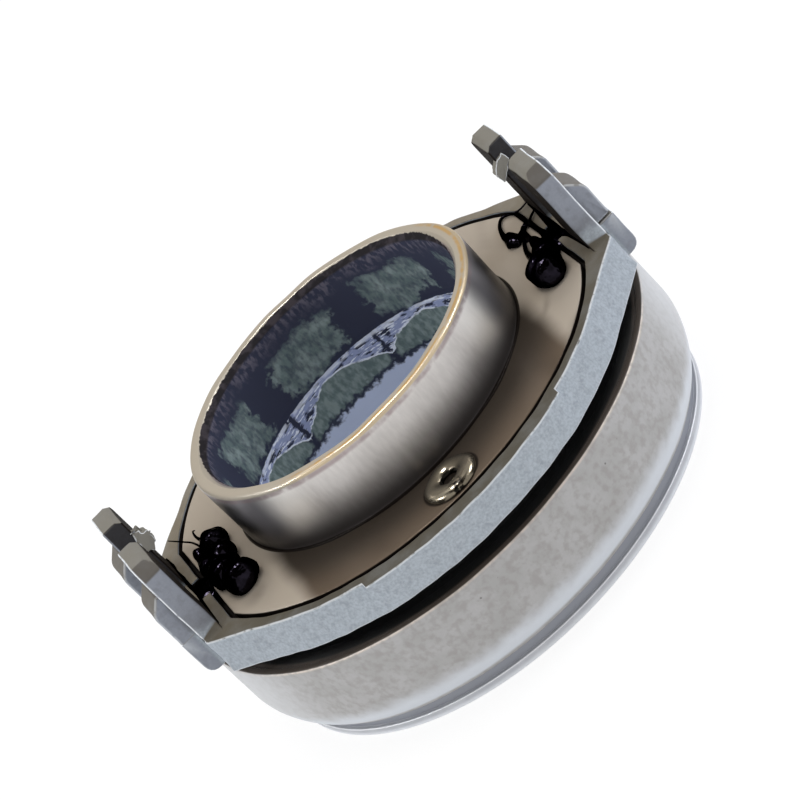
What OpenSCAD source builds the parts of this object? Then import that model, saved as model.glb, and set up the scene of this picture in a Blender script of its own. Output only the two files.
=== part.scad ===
// Self-centring clutch release bearing.
// A cast carrier with forked ears holds a drawn guide sleeve. Under it an angular contact ball
// bearing floats sideways on a wave spring, and its outer ring ends in the thrust ring that
// presses the clutch fingers.
// Millimetres, +Z along the bore, thrust face on z = 0, ears along X.

/* [Guide sleeve] */
// Bore that slides on the gearbox guide tube
bore_d = 34; // [30:0.5:36]
// Wall of the drawn sleeve
sleeve_wall = 2; // [1.6:0.1:2.4]
// Height of the sleeve rim above its flange
sleeve_rise = 8.6; // [5:0.2:14]
// Width of the flange around the sleeve
flange_w = 8.35; // [7.5:0.05:10]
// Depth of the two flats cut from the round flange
flat_cut = 1.85; // [1:0.05:2.5]
// Thickness of the sleeve flange
flange_t = 2; // [1.2:0.1:2.4]
// Fillet where the sleeve rises from its flange
sleeve_fillet = 0.3; // [0.2:0.1:1]
// Chamfer on the sleeve's bore ends
bore_chamfer = 0.7; // [0.2:0.1:0.8]
// Rounding of the rim's outer edge
rim_round = 0.5; // [0.2:0.1:0.8]

/* [Carrier plate] */
// Thickness of the cast plate
plate_t = 4; // [3.6:0.1:6]
// Width of the plate's rim around the flange recess
plate_rim = 1.25; // [1:0.05:2.5]
// How much wider the cast sides are at the bottom edge
plate_draft = 0.9; // [0.3:0.1:1.2]
// How far the two upright side lugs stand out from the plate's top edge
lug_out = 1.1; // [0.95:0.05:2.5]
// Half width of a side lug
lug_half_w = 13.8; // [8:0.2:16]
// Width of the strip between the flange recess and the ears
ear_strip = 1.3; // [0.8:0.05:2.5]
// How far the flat ends reach past the ears on each side
end_margin = 0.4; // [0.2:0.05:1]
// Width of the groove left around the sleeve flange
recess_gap = 0.6; // [0.2:0.1:0.8]
// Half width of the slot at the root of each ear
slot_half_w = 2.2; // [1:0.1:2.8]

/* [Forked ears] */
// Thickness of the ear prongs
ear_t = 2.4; // [2:0.1:3]
// Half width across both prongs
ear_half_w = 9.6; // [8:0.1:11]
// Height of the prongs above the plate
ear_h = 11.05; // [9.5:0.05:14]
// Chamfer on the outer top corner of each prong
ear_chamfer = 1.55; // [0.5:0.05:2.5]
// Bevel along the inner top edge of a prong
ear_bevel = 0.7; // [0.3:0.05:1]
// Fillet at the foot of each prong
ear_fillet = 1.3; // [0.5:0.1:2]
// Set-back of that fillet from the plate's edge
foot_set_back = 0.15; // [0.05:0.05:0.5]
// Width of the notch between the prongs
notch_w = 6; // [5:0.2:8]
// Outward thickness of the pads on the prongs
pad_t = 2; // [1:0.1:2.5]
// Height of the pads above the plate
pad_h = 7; // [6:0.1:9]
// Slope on the pad's outer top corner
pad_slope = 1.6; // [0.8:0.1:1.8]
// Set-back of the pads from the notch
pad_inset_notch = 0.4; // [0:0.1:1]
// Set-back of the pads from the prong's outer side
pad_inset_side = 1; // [0.5:0.1:2]
// Rounding of the pad's lower outer corner
pad_round = 1.4; // [0.4:0.1:1.9]
// Height of the seam across the pads above the plate
pad_seam = 1; // [0.5:0.1:3]
// How far the pads step in above that seam
pad_step = 0.15; // [0.05:0.05:0.3]
// Height of the left flash nib on the prong's inner edge
left_flash_h = 3.5; // [2:0.1:4]
// Height of the right flash nib on the prong's inner edge
right_flash_h = 2.8; // [2:0.1:4]
// Thickness of both flash nibs
flash_t = 1; // [0.6:0.1:1.4]

/* [Sleeve rivets] */
// Distance of the rivets from the flange's edge
rivet_edge = 3.85; // [3.4:0.05:4.2]
// Radius of the rivet shank
rivet_r = 1.9; // [1.6:0.05:2.1]
// Radius of the hole through the tubular rivet
rivet_hole_r = 0.9; // [0.7:0.05:1.3]
// Radius of the rolled head
rivet_head_r = 3.3; // [2.8:0.05:3.4]
// Height of the rolled head above the flange
rivet_head_h = 0.75; // [0.5:0.05:0.9]
// Radius of the set tail under the plate
rivet_tail_r = 2.6; // [2.3:0.05:2.9]
// Depth of the counterbore that hides the tail
rivet_sink = 0.9; // [0.7:0.05:1]

/* [Ball bearing] */
// Ball diameter
ball_d = 6.35; // [6:0.05:6.5]
// Number of balls
ball_count = 18; // [14:1:20]
// Wall of the outer ring beside the balls
shell_wall = 2.25; // [2:0.05:4]
// Radius of the outer ring's lower corner
shell_corner_r = 7.1; // [5:0.1:8]
// How far the outer ring's foot curves in above the thrust ring
shell_foot_in = 1.85; // [1:0.05:2.5]
// Wall of the outer ring beside its lip
lip_wall = 0.9; // [0.7:0.1:1.9]
// Rounding of the lip's outer edge
lip_round = 0.35; // [0.2:0.05:0.6]
// Thickness of the outer ring's floor under the balls
floor_t = 1.85; // [1.5:0.05:2.2]
// How far the outer ring's floor reaches inside the ball circle
floor_lap = 1.3; // [1:0.05:1.5]
// Gap between the outer ring's lip and the plate
lip_gap = 2; // [1.7:0.1:4]
// Radial wall of the inner ring under the balls
inner_wall = 1.7; // [1.4:0.05:3]
// How far the inner ring's shoulder ends inside the ball circle
shoulder_in = 0.3; // [0.2:0.05:0.8]

/* [Thrust ring] */
// Height of the thrust ring
thrust_h = 2.55; // [2.2:0.05:4]
// Step from the outer ring's foot in to the thrust ring's rim
thrust_step = 0.35; // [0.1:0.05:0.8]
// Depth of the groove between the rim and the outer ring
groove_depth = 0.5; // [0.3:0.05:1]
// Height of the groove above the rim
groove_h = 1.4; // [0.8:0.05:1.6]
// Rounding of the thrust ring's lower edges
thrust_round = 0.45; // [0.2:0.05:0.7]

/* [Cage and seals] */
// Radial width of the cage between the balls
cage_w = 3.2; // [2.6:0.1:3.4]
// Height of the closed cage ring above the prongs
cage_ring_h = 1.3; // [1.1:0.05:1.4]
// Depth of the cage prongs below the ball centres
prong_drop = 1.35; // [0.8:0.05:1.6]
// Thickness of the upper seal
seal_t = 0.8; // [0.6:0.05:0.9]
// Depth of the upper seal below the lip
seal_drop = 0.4; // [0.2:0.05:1]
// Room between the cage and the upper seal
seal_room = 0.46; // [0.35:0.01:2]
// Height of the lower seal
lower_seal_h = 1; // [0.7:0.05:1.1]

/* [Spring and retainer] */
// Thickness of the wave spring
spring_t = 0.5; // [0.3:0.05:0.6]
// Radial width of the wave spring
spring_w = 3; // [2:0.1:4]
// Number of waves
spring_waves = 4; // [3:1:6]
// Free height between the plate and the inner ring
spring_space = 1.4; // [1.2:0.05:1.6]
// Thickness of the retaining washer
washer_t = 0.8; // [0.6:0.05:0.9]
// Thickness of the snap ring
snap_t = 0.9; // [0.7:0.05:1]
// Depth of the snap ring groove in the sleeve
snap_depth = 0.8; // [0.5:0.05:1.2]
// How far the snap ring stands out of its groove
snap_out = 1.2; // [0.8:0.05:1.8]
// Width of the gap in the snap ring
snap_gap = 5; // [3:0.5:8]
// Length of sleeve below the snap ring
sleeve_tail = 0.6; // [0.5:0.05:0.8]

/* [Clearances] */
// Sideways float of the bearing on each axis
float_travel = 0.7; // [0.3:0.05:0.7]
// Running gap between the balls and their races
race_gap = 0.07; // [0.03:0.01:0.1]
// Gap between a ball and its cage pocket
pocket_gap = 0.13; // [0.08:0.01:0.2]
// Gap between pieces that move past each other
run_gap = 0.35; // [0.3:0.05:0.4]
// Small gap where pieces rest on each other across a joint
rest_gap = 0.1; // [0.05:0.01:0.15]
// Gap between pieces that are fitted into each other
fit_gap = 0.05; // [0.02:0.01:0.1]

/* [Grease] */
// Radius of the largest grease lump
grease_r = 2.1; // [1.5:0.05:2.4]
// Height of that lump's middle above the flange
grease_lift = 0.95; // [0.5:0.05:1.4]

/* [Hidden] */
$fn = 96;
bore_r = bore_d / 2;
sleeve_r = bore_r + sleeve_wall;
float_room = float_travel * sqrt(2) + run_gap;

// Radii from the sleeve outwards, with room for the bearing to float
ball_r = ball_d / 2;
race_r = ball_r + race_gap;
inner_bore_r = sleeve_r + float_room;
race_inner = inner_bore_r + inner_wall;
pitch_r = race_inner + race_r;
race_outer = pitch_r + race_r;
shoulder_r = pitch_r - shoulder_in;
outer_bore_r = pitch_r - floor_lap;
shell_r = race_outer + shell_wall;
shell_foot_r = shell_r - shell_foot_in;
seal_seat_r = shell_r - lip_wall;
thrust_r = shell_foot_r - thrust_step;
thrust_bore_r = outer_bore_r - fit_gap;
washer_r = thrust_bore_r - float_room;

// Crown cage between the races
cage_outer = race_outer - 2 * run_gap;
cage_inner = cage_outer - cage_w;
cage_ring_inner = shoulder_r + run_gap + 2 * rest_gap;
pocket_r = ball_r + pocket_gap;

// Heights from the thrust face upwards
floor_z = thrust_h + floor_t;
ball_z = floor_z + race_r;
cage_prong_z = ball_z - prong_drop;
cage_prong_top = ball_z + race_r - run_gap - rest_gap;
cage_top = cage_prong_top + cage_ring_h;
seal_z = cage_top + seal_room;
seal_top = seal_z + seal_t;
lip_z = seal_top + seal_drop;
plate_z = lip_z + lip_gap;
plate_top = plate_z + plate_t;
ring_top = plate_z - spring_space;
recess_z = plate_top - flange_t;
rim_z = plate_top + sleeve_rise;

// Centre of the outer ring's lower corner
corner_x = shell_r - shell_corner_r;
corner_z = thrust_h + sqrt(pow(shell_corner_r, 2) - pow(shell_foot_r - corner_x, 2));

// Retainer stack at the sleeve's lower end
lower_seal_z = floor_z - lower_seal_h;
washer_top = lower_seal_z - run_gap - rest_gap;
washer_z = washer_top - washer_t;
snap_z = washer_z - snap_t;
sleeve_z = snap_z - sleeve_tail;
inner_z = washer_top + rest_gap;

// Flange and plate outlines
flange_r = sleeve_r + flange_w;
flange_flat = flange_r - flat_cut;
plate_r = flange_r + recess_gap + plate_rim;
lug_r = plate_r + lug_out;
ear_x = flange_flat + recess_gap + ear_strip;
end_x = ear_x + ear_t;
end_half_w = ear_half_w + end_margin;
rivet_pitch = flange_r - rivet_edge;

// Side planes of the plate run from the end corners to the round part
corner_dist = norm([end_x, end_half_w]);
corner_angle = atan2(end_half_w, end_x);
side_set_in = 0.04;
side_r = plate_r - side_set_in;
side_angle = corner_angle + acos(side_r / corner_dist);
draft_angle = atan2(plate_draft, plate_t);
notch_y = notch_w / 2;

// Wave spring
spring_inner = inner_bore_r + rest_gap;
spring_mid = ring_top + spring_space / 2;
spring_swing = spring_space / 2 - spring_t / 2 - rest_gap;
spring_steps = 24 * spring_waves;

// Overlap that keeps cuts and joined solids clean
eps = 0.02;
reach = 80;

// Grease lumps in radii of the largest: distance in from the flange's flat, place along Y, radius
left_lumps = [[1.42, -3.3, 1], [1.14, -1.4, 0.95], [1.52, 0.24, 0.8], [1.48, 1.72, 0.8]];
right_lumps = [[1.42, -3.25, 1.05], [0.8, -1.35, 0.72], [1.1, 1.48, 0.7]];

// Flash nibs in shares of their height: distance out from the prong's inner face, height above their foot
left_flash = [[0, 1], [-0.17, 0.91], [-0.4, 0.56], [-0.3, 0.23], [0, 0], [0.16, 0.14], [0.1, 0.68]];
right_flash = [[0.45, 1], [0.5, 0.63], [-0.23, 0], [-0.33, 0.58], [-0.02, 0.89]];
flash_foot = ear_h / 2;
right_flash_foot = flash_foot + left_flash_h / 3;

function ball_name(i) = str("ball_", i < 10 ? "0" : "", i);

// Removes a square corner of a profile and leaves a round one; quarter 0 faces out and up,
// 1 in and up, 2 in and down, 3 out and down
module round_off(corner, radius, quarter) {
    away = [[1, 1], [-1, 1], [-1, -1], [1, -1]][quarter];
    translate(corner - radius * away)
        rotate(90 * quarter)
            difference() {
                square(radius + eps);
                circle(r = radius);
            }
}

// Ring of rectangular section between two radii
module band(r_in, r_out, z_low, z_high) {
    rotate_extrude()
        translate([r_in, z_low])
            square([r_out - r_in, z_high - z_low]);
}

// Disc outline with two flats across X
module flatted_disc(radius, flat) {
    intersection() {
        circle(r = radius);
        square([2 * flat, 2 * radius + 1], center = true);
    }
}

// Half space inside one drafted side of the plate
module drafted_side(angle) {
    rotate([0, 0, angle])
        translate([side_r, 0, plate_top])
            rotate([0, -draft_angle, 0])
                translate([-reach, -reach / 2, -reach / 2])
                    cube([reach, reach, reach]);
}

// Tapered end of the plate on the +X side, out to the flat that carries the ear
module plate_end() {
    wedge = tan(side_angle);
    intersection() {
        translate([0, 0, plate_z])
            linear_extrude(plate_t)
                polygon([[bore_r, -bore_r * wedge], [end_x, -end_x * wedge],
                         [end_x, end_x * wedge], [bore_r, bore_r * wedge]]);
        drafted_side(side_angle);
        drafted_side(-side_angle);
    }
}

// Plate with its drafted round sides, its tapered ends and the two upright side lugs
module plate_blank() {
    translate([0, 0, plate_z])
        cylinder(h = plate_t, r1 = plate_r + plate_draft, r2 = plate_r);
    plate_end();
    mirror([1, 0, 0])
        plate_end();
    translate([0, 0, plate_z])
        linear_extrude(plate_t)
            intersection() {
                circle(r = lug_r);
                square([2 * lug_half_w, 2 * lug_r + 1], center = true);
            }
}

// Side view of one prong: chamfered outer corner, fillet at the foot
module prong_profile() {
    foot = ear_half_w + ear_fillet;
    difference() {
        union() {
            polygon([
                [notch_y, -eps],
                [ear_half_w, -eps],
                [ear_half_w, ear_h - ear_chamfer],
                [ear_half_w - ear_chamfer, ear_h],
                [notch_y, ear_h]
            ]);
            translate([ear_half_w - eps, -eps])
                square([ear_fillet + eps, ear_fillet + eps]);
        }
        translate([foot, ear_fillet])
            circle(r = ear_fillet);
    }
}

// End view of one pad: rounded below, stepped in above its seam, sloped at the top
module pad_profile() {
    foot_x = end_x + pad_t;
    upper_x = foot_x - pad_step;
    seam_z = plate_top + pad_seam;
    pad_top = plate_top + pad_h;
    difference() {
        polygon([
            [end_x - eps, plate_z],
            [foot_x, plate_z],
            [foot_x, seam_z],
            [upper_x, seam_z],
            [upper_x, pad_top - pad_slope],
            [upper_x - pad_slope, pad_top],
            [end_x - eps, pad_top]
        ]);
        round_off([foot_x, plate_z], pad_round, 3);
    }
}

// Ragged casting flash on the inner edge of the +Y prong, on the +X end
module flash_nib(shape, height, foot) {
    translate([ear_x, notch_y + 3 * flash_t / 4, plate_top + foot])
        rotate([90, 0, 0])
            linear_extrude(flash_t)
                polygon([for (corner = shape) height * corner]);
}

// One prong with its pad, on the +X end and the +Y side
module prong() {
    pad_y0 = notch_y + pad_inset_notch;
    pad_y1 = ear_half_w - pad_inset_side;
    intersection() {
        difference() {
            translate([ear_x, 0, plate_top])
                rotate([90, 0, 90])
                    linear_extrude(ear_t)
                        prong_profile();
            translate([ear_x, 0, plate_top + ear_h - ear_bevel])
                rotate([0, -45, 0])
                    translate([-reach, 0, 0])
                        cube([2 * reach, reach, reach]);
        }
        translate([0, 0, plate_top - eps])
            rotate([0, 0, side_angle])
                translate([side_r - foot_set_back - reach, -reach / 2, 0])
                    cube([reach, reach, reach]);
    }
    translate([0, pad_y1, 0])
        rotate([90, 0, 0])
            linear_extrude(pad_y1 - pad_y0)
                pad_profile();
}

// Bore, flange recess, slots at the ear roots and the sunk rivet holes
module carrier_cuts() {
    translate([0, 0, plate_z - 1])
        cylinder(h = plate_t + 2, r = sleeve_r + fit_gap + rest_gap);
    translate([0, 0, recess_z])
        linear_extrude(flange_t + 1)
            flatted_disc(flange_r + recess_gap, flange_flat + recess_gap);
    translate([-ear_x, -slot_half_w, recess_z])
        cube([2 * ear_x, 2 * slot_half_w, flange_t + 1]);
    for (side = [-1, 1])
        translate([0, side * rivet_pitch, plate_z]) {
            translate([0, 0, -1])
                cylinder(h = plate_t + 2, r = rivet_r + fit_gap);
            translate([0, 0, -1])
                cylinder(h = rivet_sink + 1, r = rivet_tail_r + 2 * fit_gap);
        }
}

// Cast carrier with its recess for the flange and two forked ears
module carrier() {
    color([0.62, 0.65, 0.67])
        difference() {
            union() {
                plate_blank();
                for (turn = [0, 1])
                    mirror([turn, 0, 0]) {
                        prong();
                        mirror([0, 1, 0])
                            prong();
                    }
                flash_nib(right_flash, right_flash_h, right_flash_foot);
                mirror([1, 0, 0])
                    flash_nib(left_flash, left_flash_h, flash_foot);
            }
            carrier_cuts();
        }
}

// Section of the sleeve tube with its fillet, rim rounding and snap ring groove
module sleeve_profile() {
    difference() {
        union() {
            translate([bore_r, sleeve_z])
                square([sleeve_wall, rim_z - sleeve_z]);
            translate([sleeve_r - eps, plate_top - eps])
                square([sleeve_fillet + eps, sleeve_fillet + eps]);
        }
        translate([sleeve_r + sleeve_fillet, plate_top + sleeve_fillet])
            circle(r = sleeve_fillet);
        round_off([sleeve_r, rim_z], rim_round, 0);
        polygon([[bore_r - eps, rim_z - bore_chamfer - eps], [bore_r + bore_chamfer + eps, rim_z + eps],
                 [bore_r - eps, rim_z + eps]]);
        polygon([[bore_r - eps, sleeve_z + bore_chamfer + eps], [bore_r + bore_chamfer + eps, sleeve_z - eps],
                 [bore_r - eps, sleeve_z - eps]]);
        translate([sleeve_r - snap_depth, snap_z])
            square([snap_depth + 1, snap_t]);
    }
}

// Drawn steel sleeve with the flange that the release fork presses on
module guide_sleeve() {
    color([0.60, 0.57, 0.53])
        union() {
            rotate_extrude()
                sleeve_profile();
            difference() {
                translate([0, 0, recess_z])
                    linear_extrude(flange_t)
                        flatted_disc(flange_r, flange_flat);
                translate([0, 0, recess_z - 1])
                    cylinder(h = flange_t + 2, r = sleeve_r - eps);
                for (side = [-1, 1])
                    translate([0, side * rivet_pitch, recess_z - 1])
                        cylinder(h = flange_t + 2, r = rivet_r + fit_gap);
            }
        }
}

// One tubular rivet: rolled head on the flange, shank, set tail in its counterbore
module rivet() {
    roll_half = (rivet_head_r - rivet_hole_r) / 2;
    roll_r = (pow(roll_half, 2) + pow(rivet_head_h, 2)) / (2 * rivet_head_h);
    rotate_extrude() {
        translate([rivet_hole_r, plate_z + rest_gap])
            square([rivet_r - rivet_hole_r, plate_t - rest_gap]);
        translate([rivet_hole_r, plate_z + rest_gap])
            square([rivet_tail_r - rivet_hole_r, rivet_sink - rest_gap]);
        intersection() {
            translate([rivet_hole_r + roll_half, plate_top + rivet_head_h - roll_r])
                circle(r = roll_r);
            translate([0, plate_top])
                square([rivet_head_r + 1, rivet_head_h + 1]);
        }
    }
}

// Two rivets that hold the sleeve flange in the carrier
module sleeve_rivets() {
    color([0.75, 0.73, 0.68])
        for (side = [-1, 1])
            translate([0, side * rivet_pitch, 0])
                rivet();
}

// Height of the wave spring's middle at an angle
function spring_height(angle) = spring_mid + spring_swing * sin(spring_waves * angle);

// Four corners of the spring's section at an angle
function spring_section(angle) = [
    for (corner = [[0, -1], [spring_w, -1], [spring_w, 1], [0, 1]])
        [
            (spring_inner + corner[0]) * cos(angle),
            (spring_inner + corner[0]) * sin(angle),
            spring_height(angle) + corner[1] * spring_t / 2
        ]
];

// Flat wire ring bent into waves; it presses the inner ring onto the retaining washer
module wave_spring() {
    points = [for (i = [0:spring_steps - 1]) each spring_section(360 * i / spring_steps)];
    faces = [
        for (i = [0:spring_steps - 1])
            for (j = [0:3])
                let (here = 4 * i, next = 4 * ((i + 1) % spring_steps), k = (j + 1) % 4)
                    each [[here + j, here + k, next + k], [here + j, next + k, next + j]]
    ];
    color([0.45, 0.46, 0.50])
        polyhedron(points = points, faces = faces);
}

// Standing inner ring: thin skirt inside the balls, shoulder and race above them
module inner_ring() {
    color([0.66, 0.67, 0.69])
        rotate_extrude()
            difference() {
                union() {
                    translate([inner_bore_r, inner_z])
                        square([inner_wall, ball_z - inner_z + eps]);
                    translate([inner_bore_r, ball_z])
                        square([shoulder_r - inner_bore_r, ring_top - ball_z]);
                }
                translate([pitch_r, ball_z])
                    circle(r = race_r);
                round_off([inner_bore_r, ring_top], rim_round, 1);
                round_off([shoulder_r, ring_top], rim_round, 0);
            }
}

// Section of the crown cage: closed ring above, band between the balls below
module cage_profile() {
    translate([cage_inner, cage_prong_z])
        square([cage_w, cage_prong_top - cage_prong_z]);
    translate([cage_ring_inner, cage_prong_top - eps])
        square([cage_outer - cage_ring_inner, cage_ring_h + eps]);
}

// Snap-in crown cage with one round pocket for each ball
module ball_cage() {
    color([0.80, 0.74, 0.58])
        difference() {
            rotate_extrude()
                cage_profile();
            for (i = [1:ball_count])
                rotate([0, 0, 360 * (i - 1) / ball_count])
                    translate([pitch_r, 0, ball_z])
                        sphere(r = pocket_r);
        }
}

// One ball of the row
module ball(i) {
    color([0.82, 0.83, 0.85])
        rotate([0, 0, 360 * (i - 1) / ball_count])
            translate([pitch_r, 0, ball_z])
                sphere(r = ball_r);
}

// Outside of the outer ring: upright wall, large round corner at the foot, rounded lip
module shell_outline() {
    difference() {
        intersection() {
            translate([outer_bore_r, thrust_h])
                square([shell_r - outer_bore_r, lip_z - thrust_h]);
            union() {
                translate([0, corner_z])
                    square([shell_r, reach]);
                translate([corner_x, corner_z])
                    circle(r = shell_corner_r);
                square([corner_x, reach]);
            }
        }
        round_off([shell_r, lip_z], lip_round, 0);
    }
}

// Rotating outer ring: pressed bowl with the lower race and a seat for the upper seal
module outer_ring() {
    color([0.74, 0.73, 0.71])
        rotate_extrude()
            difference() {
                shell_outline();
                translate([pitch_r, ball_z])
                    circle(r = race_r);
                translate([0, floor_z])
                    square([pitch_r, reach]);
                translate([0, ball_z])
                    square([race_outer, reach]);
                translate([0, seal_z])
                    square([seal_seat_r, reach]);
            }
}

// Thrust ring with its rim, the groove above it and the flat contact face
module thrust_ring() {
    neck_r = thrust_r - groove_depth;
    rim_h = thrust_h - groove_h;
    color([0.58, 0.60, 0.64])
        rotate_extrude()
            difference() {
                union() {
                    translate([thrust_bore_r, 0])
                        square([thrust_r - thrust_bore_r, rim_h]);
                    translate([thrust_bore_r, 0])
                        square([neck_r - thrust_bore_r, thrust_h]);
                }
                round_off([thrust_r, 0], thrust_round, 3);
                round_off([thrust_bore_r, 0], thrust_round, 2);
            }
}

// Dark seal on its seat inside the lip, reaching to the inner ring's shoulder
module upper_seal() {
    color([0.20, 0.17, 0.15])
        band(shoulder_r + run_gap, seal_seat_r - fit_gap, seal_z, seal_top);
}

// Seal in the outer ring's lower bore, around the inner ring's skirt
module lower_seal() {
    color([0.12, 0.12, 0.13])
        band(race_inner + run_gap, outer_bore_r - fit_gap, lower_seal_z, floor_z);
}

// Washer that carries the inner ring at the sleeve's lower end
module retaining_washer() {
    color([0.55, 0.56, 0.58])
        band(sleeve_r + fit_gap, washer_r, washer_z, washer_top);
}

// Open snap ring in the sleeve groove, under the washer
module snap_ring() {
    color([0.30, 0.31, 0.33])
        difference() {
            band(sleeve_r - snap_depth + fit_gap, sleeve_r + snap_out, snap_z, washer_z);
            translate([0, -snap_gap / 2, snap_z - 1])
                cube([reach, snap_gap, snap_t + 2]);
        }
}

// Run of grease lumps lying on the sleeve flange beside the ear on one side
module grease_dab(side, lumps) {
    color([0.06, 0.06, 0.08])
        intersection() {
            union()
                for (lump = lumps)
                    translate([side * (flange_flat - grease_r * lump[0]), grease_r * lump[1],
                               plate_top + grease_lift * lump[2]])
                        sphere(r = grease_r * lump[2]);
            translate([-reach / 2, -reach / 2, plate_top])
                cube([reach, reach, reach]);
        }
}

// Grease at the left ear
module grease_dab_left() {
    grease_dab(-1, left_lumps);
}

// Grease at the right ear
module grease_dab_right() {
    grease_dab(1, right_lumps);
}

carrier();
guide_sleeve();
sleeve_rivets();
wave_spring();
inner_ring();
ball_cage();
outer_ring();
thrust_ring();
upper_seal();
lower_seal();
retaining_washer();
snap_ring();
grease_dab_left();
grease_dab_right();
for (i = [1:ball_count])
    ball(i);
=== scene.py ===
"""Looks of a self-centring clutch release bearing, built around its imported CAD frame.

Sizes are in millimetres in the part's own frame: +Z along the bore, thrust face on z = 0, ears along X.
"""

import logging
from dataclasses import dataclass, field
from enum import Enum
from functools import reduce
from typing import Any, Sequence

import bpy
import numpy as np
from mathutils import Matrix, Vector


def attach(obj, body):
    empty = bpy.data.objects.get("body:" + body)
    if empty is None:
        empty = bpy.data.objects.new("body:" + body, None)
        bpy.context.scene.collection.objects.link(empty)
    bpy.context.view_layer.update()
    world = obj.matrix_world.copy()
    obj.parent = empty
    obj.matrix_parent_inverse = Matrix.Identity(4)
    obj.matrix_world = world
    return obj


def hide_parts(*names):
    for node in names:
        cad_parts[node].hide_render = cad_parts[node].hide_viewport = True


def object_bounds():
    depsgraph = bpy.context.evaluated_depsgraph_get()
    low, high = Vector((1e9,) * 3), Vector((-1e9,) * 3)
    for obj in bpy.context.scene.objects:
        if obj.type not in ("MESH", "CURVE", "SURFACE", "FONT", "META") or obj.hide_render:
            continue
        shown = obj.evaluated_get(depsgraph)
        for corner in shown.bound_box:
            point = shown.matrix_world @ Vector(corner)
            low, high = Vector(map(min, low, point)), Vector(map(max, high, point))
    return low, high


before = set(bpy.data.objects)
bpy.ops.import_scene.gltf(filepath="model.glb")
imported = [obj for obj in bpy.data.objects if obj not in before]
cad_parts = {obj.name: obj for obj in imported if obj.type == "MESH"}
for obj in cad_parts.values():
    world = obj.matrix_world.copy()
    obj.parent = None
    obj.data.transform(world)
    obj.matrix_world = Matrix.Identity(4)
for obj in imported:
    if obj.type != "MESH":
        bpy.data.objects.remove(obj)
CAD_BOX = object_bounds()

LOG = logging.getLogger("release_bearing")
MM = 0.001
ARC_STEPS = 6
SIDE_ROWS = 4
THREAD_SIDES = 10
THREAD_STEPS = 12
ASKEW = (0.13, 0.21, 1.0)  # a direction that no thread runs along
SAME_ANGLE = 1e-4
TINY = 1e-9
Array = np.ndarray
Number = float | Array
Rgb = tuple[int, int, int]
Socket = bpy.types.NodeSocket


class Body(Enum):
    """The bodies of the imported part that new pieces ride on."""

    CARRIER = "carrier"
    SPRING = "float_spring"
    OUTER = "outer_race"


class Axis(Enum):
    """The direction across a slab's thickness, with the order that puts it into the frame."""

    X = (2, 0, 1)
    Y = (0, 2, 1)


class Side(Enum):
    """One end of the carrier along X."""

    LEFT = -1
    RIGHT = 1


@dataclass
class Shell:
    """A closed surface.

    Attributes:
        points: places of the points, one row each.
        quads: four point numbers a row.
        caps: faces with any other number of corners.
        wear: how worn each point is, up to 1, or how soiled and darkened by painted shade, down to -1.
    """

    points: Array
    quads: Array
    caps: list[list[int]]
    wear: Array

    def outward(self) -> "Shell":
        """Turns every face round where the signed volume of the surface is negative.

        Returns:
            The same surface, with its faces pointing outwards.
        """
        tri = np.concatenate([self.quads[:, [0, 1, 2]], self.quads[:, [0, 2, 3]]])
        fans = [[c[0], c[i], c[i + 1]] for c in self.caps for i in range(1, len(c) - 1)]
        tri = np.concatenate([tri, np.array(fans, int).reshape(-1, 3)])
        a, b, c = (self.points[tri[:, i]] for i in range(3))
        if np.einsum("ij,ij->i", a, np.cross(b, c)).sum() < 0:
            self.quads = self.quads[:, ::-1]
            self.caps = [cap[::-1] for cap in self.caps]
        return self

    def mirrored(self, x: int = 1, y: int = 1) -> "Shell":
        """Gives the surface reflected in X, Y or both.

        Args:
            x: -1 to reflect across the YZ plane.
            y: -1 to reflect across the XZ plane.

        Returns:
            A new surface that points outwards.
        """
        flipped = Shell(self.points * np.array([x, y, 1]), self.quads, self.caps, self.wear)
        return flipped.outward()

    @staticmethod
    def joined(shells: Sequence["Shell"]) -> "Shell":
        """Puts several surfaces into one, side by side.

        Args:
            shells: the surfaces.

        Returns:
            One surface with all their points and faces.
        """
        starts = np.cumsum([0] + [len(s.points) for s in shells])
        caps = [[n + int(k) for n in cap] for s, k in zip(shells, starts) for cap in s.caps]
        return Shell(
            np.concatenate([s.points for s in shells]),
            np.concatenate([s.quads + k for s, k in zip(shells, starts)]),
            caps,
            np.concatenate([s.wear for s in shells]),
        )


@dataclass(frozen=True)
class Corner:
    """One corner of a section or outline.

    Attributes:
        r: radius or first coordinate, one number or one for each angle.
        z: height or second coordinate, likewise.
        cut: how far the rounding sets back from the corner.
        fill: points added along the straight that follows.
        wear: how worn the rounded edge is, or how soiled and darkened by painted shade where negative.
        soil_and_shade: how soiled and darkened by painted shade the straight that follows is.
    """

    r: Number
    z: Number
    cut: float = 0.0
    fill: int = 0
    wear: float = 0.0
    soil_and_shade: float = 0.0


@dataclass(frozen=True)
class Ripple:
    """Smooth unevenness of a cast or pressed skin: a sum of sine waves in many directions.

    Attributes:
        length: rough wave length.
        depth: rough depth.
        seed: number that fixes the waves.
        waves: how many waves are added.
    """

    length: float
    depth: float
    seed: int
    waves: int = 28

    def moved(self, points: Array) -> Array:
        """Moves points by the sum of pushes times sin(direction . point + phase).

        Args:
            points: places, one row each.

        Returns:
            The moved places.
        """
        draw = np.random.default_rng(self.seed)
        way = draw.normal(size=(self.waves, 3))
        way /= np.linalg.norm(way, axis=1, keepdims=True)
        way *= 2 * np.pi / (self.length * draw.uniform(0.6, 1.7, (self.waves, 1)))
        phase = draw.uniform(0, 2 * np.pi, self.waves)
        push = draw.normal(size=(self.waves, 3)) * self.depth / np.sqrt(self.waves)
        return points + np.sin(points @ way.T + phase) @ push


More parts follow.
